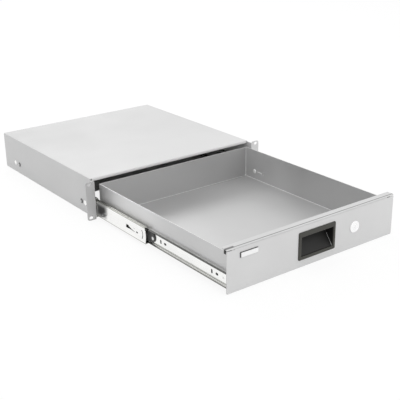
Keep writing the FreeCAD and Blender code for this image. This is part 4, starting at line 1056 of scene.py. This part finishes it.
@dataclass
class Slides(Assembly):
    """Both telescopic slides with their cages, balls and release levers."""

    nose_past_pin: float = 4.0 * MM
    lever_sheet: float = 2.3 * MM
    base_half_height: float = 10.3 * MM
    arm_half_height: float = 3.2 * MM
    pin_to_base_end: float = 17.0 * MM
    base_taper: float = 7.0 * MM
    hook_length: float = 6.0 * MM
    corner_round: float = 9.0 * MM
    corner_steps: int = 5
    recess_margin: float = 1.5 * MM
    recess_depth: float = 0.6 * MM

    KINDS: ClassVar[tuple[str, ...]] = ("outer_member", "intermediate_member", "inner_member",
                                        "outer_ball_cage", "inner_ball_cage", "outer_balls", "inner_balls")
    NODES: ClassVar[tuple[str, ...]] = (*(f"{kind}_left" for kind in KINDS),
                                        *(f"{kind}_right" for kind in KINDS), "lever_pins")

    def build(self) -> list[bpy.types.Object]:
        """Model the two release levers."""
        return [self.lever(side) for side in Side]

    def lever(self, side: Side) -> bpy.types.Object:
        """Model one moulded lever: broad base, rounded nose, slim arm and hook.

        Args:
            side: Which slide it belongs to.

        Returns:
            The lever.
        """
        node, way = f"release_lever_{side.label}", side.value
        low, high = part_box(node)
        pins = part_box("lever_pins")
        pin = (pins[0].y + pins[1].y) / 2
        middle = (low.z + high.z) / 2
        inner, hook_face = sorted((abs(low.x), abs(high.x)))
        outer = inner + self.lever_sheet
        base_end = pin + self.pin_to_base_end
        hook_start = high.y - self.hook_length
        left, right = sorted((way * inner, way * outer))

        lever = Shape.block(f"lever_moulding_{side.label}",
                            (left, pin - self.nose_past_pin, middle - self.base_half_height),
                            (right, base_end, middle + self.base_half_height))
        lever.pick(Pick.FACES, Where(Axis.Y, 1.0)).pull((0.0, self.base_taper, 0.0))
        lever.taper((1.0, 1.0, self.arm_half_height / self.base_half_height), (0.0, 0.0, middle))
        lever.pull((0.0, hook_start - base_end - self.base_taper, 0.0))
        lever.pull((0.0, self.hook_length, 0.0))
        lever.pick(Pick.FACES, Where(Axis.X, way, y=above(hook_start)))
        lever.pull((way * (hook_face - outer), 0.0, 0.0))
        lever.pick(Pick.EDGES, Where(Axis.X, y=below(pin))).round(self.corner_round, self.corner_steps)
        lever.pick(Pick.FACES, Where(Axis.X, way, y=below(base_end)))
        lever.inset(self.recess_margin).pull((-way * self.recess_depth, 0.0, 0.0))
        return lever.finish(self.rack, f"lever_{side.label}", "black_plastic", (node,))


@dataclass
class Tray(Assembly):
    """The sliding tray with its front panel, buffers, nuts and screws, washers, and white fold beads that
    stand in for the folds' highlight.
    """

    sheet: float = 1.5 * MM
    floor: float = -40.0 * MM
    back_bead: float = 0.5 * MM
    side_bead: float = 0.7 * MM
    bead_round_share: float = 0.6
    washer_radius: float = 5.4 * MM
    washer_sheet: float = 0.6 * MM
    washer_rim: float = 1.0 * MM
    tab_sheet: float = 0.5 * MM
    tab_length: float = 17.0 * MM
    tab_height: float = 2.2 * MM
    tab_from_screw: float = 10.0 * MM
    tab_round: float = 0.2 * MM
    tab_steps: int = 2

    NODES: ClassVar[tuple[str, ...]] = ("tray", "front_panel", "panel_nuts", "tray_screws", "rubber_buffers")

    def build(self) -> list[bpy.types.Object]:
        """Model the beads in the tray's folds, whose white stands in for the folds' highlight, and the
        washers and tabs at its screws.

        Returns:
            The beads, washers and tabs.
        """
        low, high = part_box("tray")
        side, back, front = high.x - self.sheet, high.y - self.sheet, low.y + self.sheet
        floor, wide, slim = self.floor, self.side_bead, self.back_bead
        lines = {
            "back": ((-side, back - slim, floor), (side, back, floor + slim)),
            "left": ((-side, front, floor), (-side + wide, back, floor + wide)),
            "right": ((side - wide, front, floor), (side, back, floor + wide)),
            "left_corner": ((-side, back - wide, floor), (-side + wide, back, high.z)),
            "right_corner": ((side - wide, back - wide, floor), (side, back, high.z)),
        }
        pieces = [self.bead(name, start, end) for name, (start, end) in lines.items()]
        screws = ScrewRow.of(*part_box("tray_screws"))
        step = self.washer_sheet / 2
        for wall in Side:
            x = wall.value * side
            for end, y in (("front", screws.front), ("rear", screws.rear)):
                washer = Shape.stepped_disc(f"tray_washer_{wall.label}_{end}", (x, y, screws.height),
                                            -wall.value, self.washer_radius, step, self.washer_rim, step)
                pieces.append(washer.finish(self.rack, "drawer", "plate_metal"))
            pieces.append(self.tab(f"wall_tab_{wall.label}", x, screws))
        return pieces

    def bead(self, name: str, start: Point, end: Point) -> bpy.types.Object:
        """Model one white bead, rounded on the edge that faces the tray's inside; it rounds the fold, and
        its white stands in for the fold's highlight.

        Args:
            name: The fold's name.
            start: The bead's lowest corner.
            end: Its highest corner.

        Returns:
            The bead.
        """
        lengths = [b - a for a, b in zip(start, end)]
        axis = Axis(lengths.index(max(lengths)))
        x, y, z = ((a + b) / 2 for a, b in zip(start, end))
        spans = {
            Axis.X: above(x) if x < 0.0 else below(x),
            Axis.Y: below(y),
            Axis.Z: above(z),
        }
        spans[axis] = ANYWHERE
        # Its white finish is a painted highlight along the fold.
        bead = Shape.block(f"fold_bead_{name}", start, end)
        inside = Where(axis, x=spans[Axis.X], y=spans[Axis.Y], z=spans[Axis.Z])
        bead.pick(Pick.EDGES, inside).round(self.bead_round_share * min(lengths))
        return bead.finish(self.rack, "drawer", "plate_metal")

    def tab(self, name: str, wall: float, screws: ScrewRow) -> bpy.types.Object:
        """Model the small bright tab ahead of a rear tray screw.

        Args:
            name: Its name.
            wall: The inner wall's place across the drawer.
            screws: The row that the screw belongs to.

        Returns:
            The tab.
        """
        inner = wall - math.copysign(self.tab_sheet, wall)
        left, right = sorted((wall, inner))
        rear = screws.rear - self.tab_from_screw
        tab = Shape.block(name, (left, rear - self.tab_length, screws.height),
                          (right, rear, screws.height + self.tab_height))
        reach = self.tab_round / 2
        tab.pick(Pick.EDGES, Where(x=(inner - reach, inner + reach))).round(self.tab_round, self.tab_steps)
        return tab.finish(self.rack, "drawer", "plate_metal")


@dataclass
class RecessedPull(Assembly):
    """The moulded pull, with a bright rib that stands in for the highlight along its pocket's right edge."""

    side_band: float = 6.0 * MM
    rib_radius: float = 0.35 * MM
    rib_sides: int = 12
    rib_steps: int = 2
    rib_front_y: float = -447.5 * MM
    rib_front_z: float = -21.5 * MM
    rib_back_y: float = -423.5 * MM
    rib_back_z: float = 10.0 * MM

    NODES: ClassVar[tuple[str, ...]] = ("recessed_pull",)

    def build(self) -> list[bpy.types.Object]:
        """Model the highlight rib from the pocket's front up to its back.

        Returns:
            The rib.
        """
        _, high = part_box("recessed_pull")
        radius = self.rib_radius
        x = high.x - self.side_band - radius
        front = Vector((x, self.rib_front_y, self.rib_front_z))
        back = Vector((x, self.rib_back_y, self.rib_back_z))
        run = back - front
        off_slope = Vector((0.0, -run.z, run.y)).normalized()
        centre = (front + back) / 2 + off_slope * radius
        lean = (-math.atan2(run.y, run.z), 0.0, 0.0)
        # The rib is a bright stand-in for the highlight on the pocket's right edge.
        rib = Shape.rod("pull_rib", tuple(centre), radius, run.length, lean, self.rib_sides)
        near, far = centre.y - run.y / 2, centre.y + run.y / 2
        rib.pick(Pick.EDGES, Where(y=below(near + radius)), Where(y=above(far - radius)))
        rib.round(radius / 3, self.rib_steps)
        return [rib.finish(self.rack, "drawer", "bright_rivet")]


@dataclass
class BlankPlate(Assembly):
    """The small plate on the panel: a dark backing with a bright face."""

    backing_sheet: float = 1.2 * MM
    face_sheet: float = 0.8 * MM
    past_left: float = 1.6 * MM
    past_top: float = 1.4 * MM
    corner: float = 0.8 * MM
    rim: float = 0.3 * MM
    rim_steps: int = 2

    def build(self) -> list[bpy.types.Object]:
        """Model the backing and the face.

        Returns:
            Both pieces.
        """
        low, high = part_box("blank_plate")
        seam = high.y - self.backing_sheet
        front = seam - self.face_sheet
        corners = Where(Axis.Y)
        backing = Shape.block("plate_backing", (low.x - self.past_left, seam, low.z),
                              (high.x, high.y, high.z + self.past_top))
        backing.pick(Pick.EDGES, corners).round(self.corner)
        pieces = [backing.finish(self.rack, "drawer", "black_plastic")]
        face = Shape.block("plate_face", (low.x + self.rim, front, low.z + self.rim),
                           (high.x, seam, high.z))
        face.pick(Pick.EDGES, corners).round(self.corner)
        face.pick(Pick.EDGES, Where(y=below(front + self.rim / 2))).round(self.rim, self.rim_steps)
        pieces.append(face.finish(self.rack, "drawer", "plate_metal", ("blank_plate",)))
        return pieces


@dataclass
class CamLock(Assembly):
    """The cam lock, with the spring shutter in its keyway."""

    shutter_width: float = 1.7 * MM
    shutter_height: float = 7.9 * MM
    shutter_depth: float = 1.2 * MM
    shutter_setback: float = 0.25 * MM
    shutter_round: float = 0.2 * MM
    shutter_steps: int = 2

    NODES: ClassVar[tuple[str, ...]] = ("lock_barrel", "lock_nut", "lock_plug", "lock_cam", "cam_screw")

    def build(self) -> list[bpy.types.Object]:
        """Close the keyway with its shutter.

        Returns:
            The shutter.
        """
        low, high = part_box("lock_barrel")
        x, z = (low.x + high.x) / 2, (low.z + high.z) / 2
        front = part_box("lock_plug")[0].y + self.shutter_setback
        half_width, half_height = self.shutter_width / 2, self.shutter_height / 2
        shutter = Shape.block("keyway_shutter", (x - half_width, front, z - half_height),
                              (x + half_width, front + self.shutter_depth, z + half_height))
        shutter.pick(Pick.EDGES, Where(y=below(front + self.shutter_round)))
        shutter.round(self.shutter_round, self.shutter_steps)
        return [shutter.finish(self.rack, "lock", "lock_chrome")]


def main() -> None:
    """Load the frame, dress and complete each sub-assembly, and build the studio."""
    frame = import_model()
    cad_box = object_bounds()
    bpy.context.scene.view_settings.view_transform = "Standard"
    rack = FinishRack(EffectShelf())
    for kind in (Housing, Slides, Tray, RecessedPull, BlankPlate, CamLock):
        assembly = kind(frame, rack)
        for name in assembly.dress():
            LOG.info("%s: dressed %s", kind.__name__, name)
        for piece in assembly.build():
            LOG.info("%s: built %s", kind.__name__, piece.name)
    Studio().build(cad_box[0].z)
    Viewpoint().build()


if __name__ == "__main__":
    logging.basicConfig(level=logging.INFO, format="%(name)s: %(message)s")
    main()
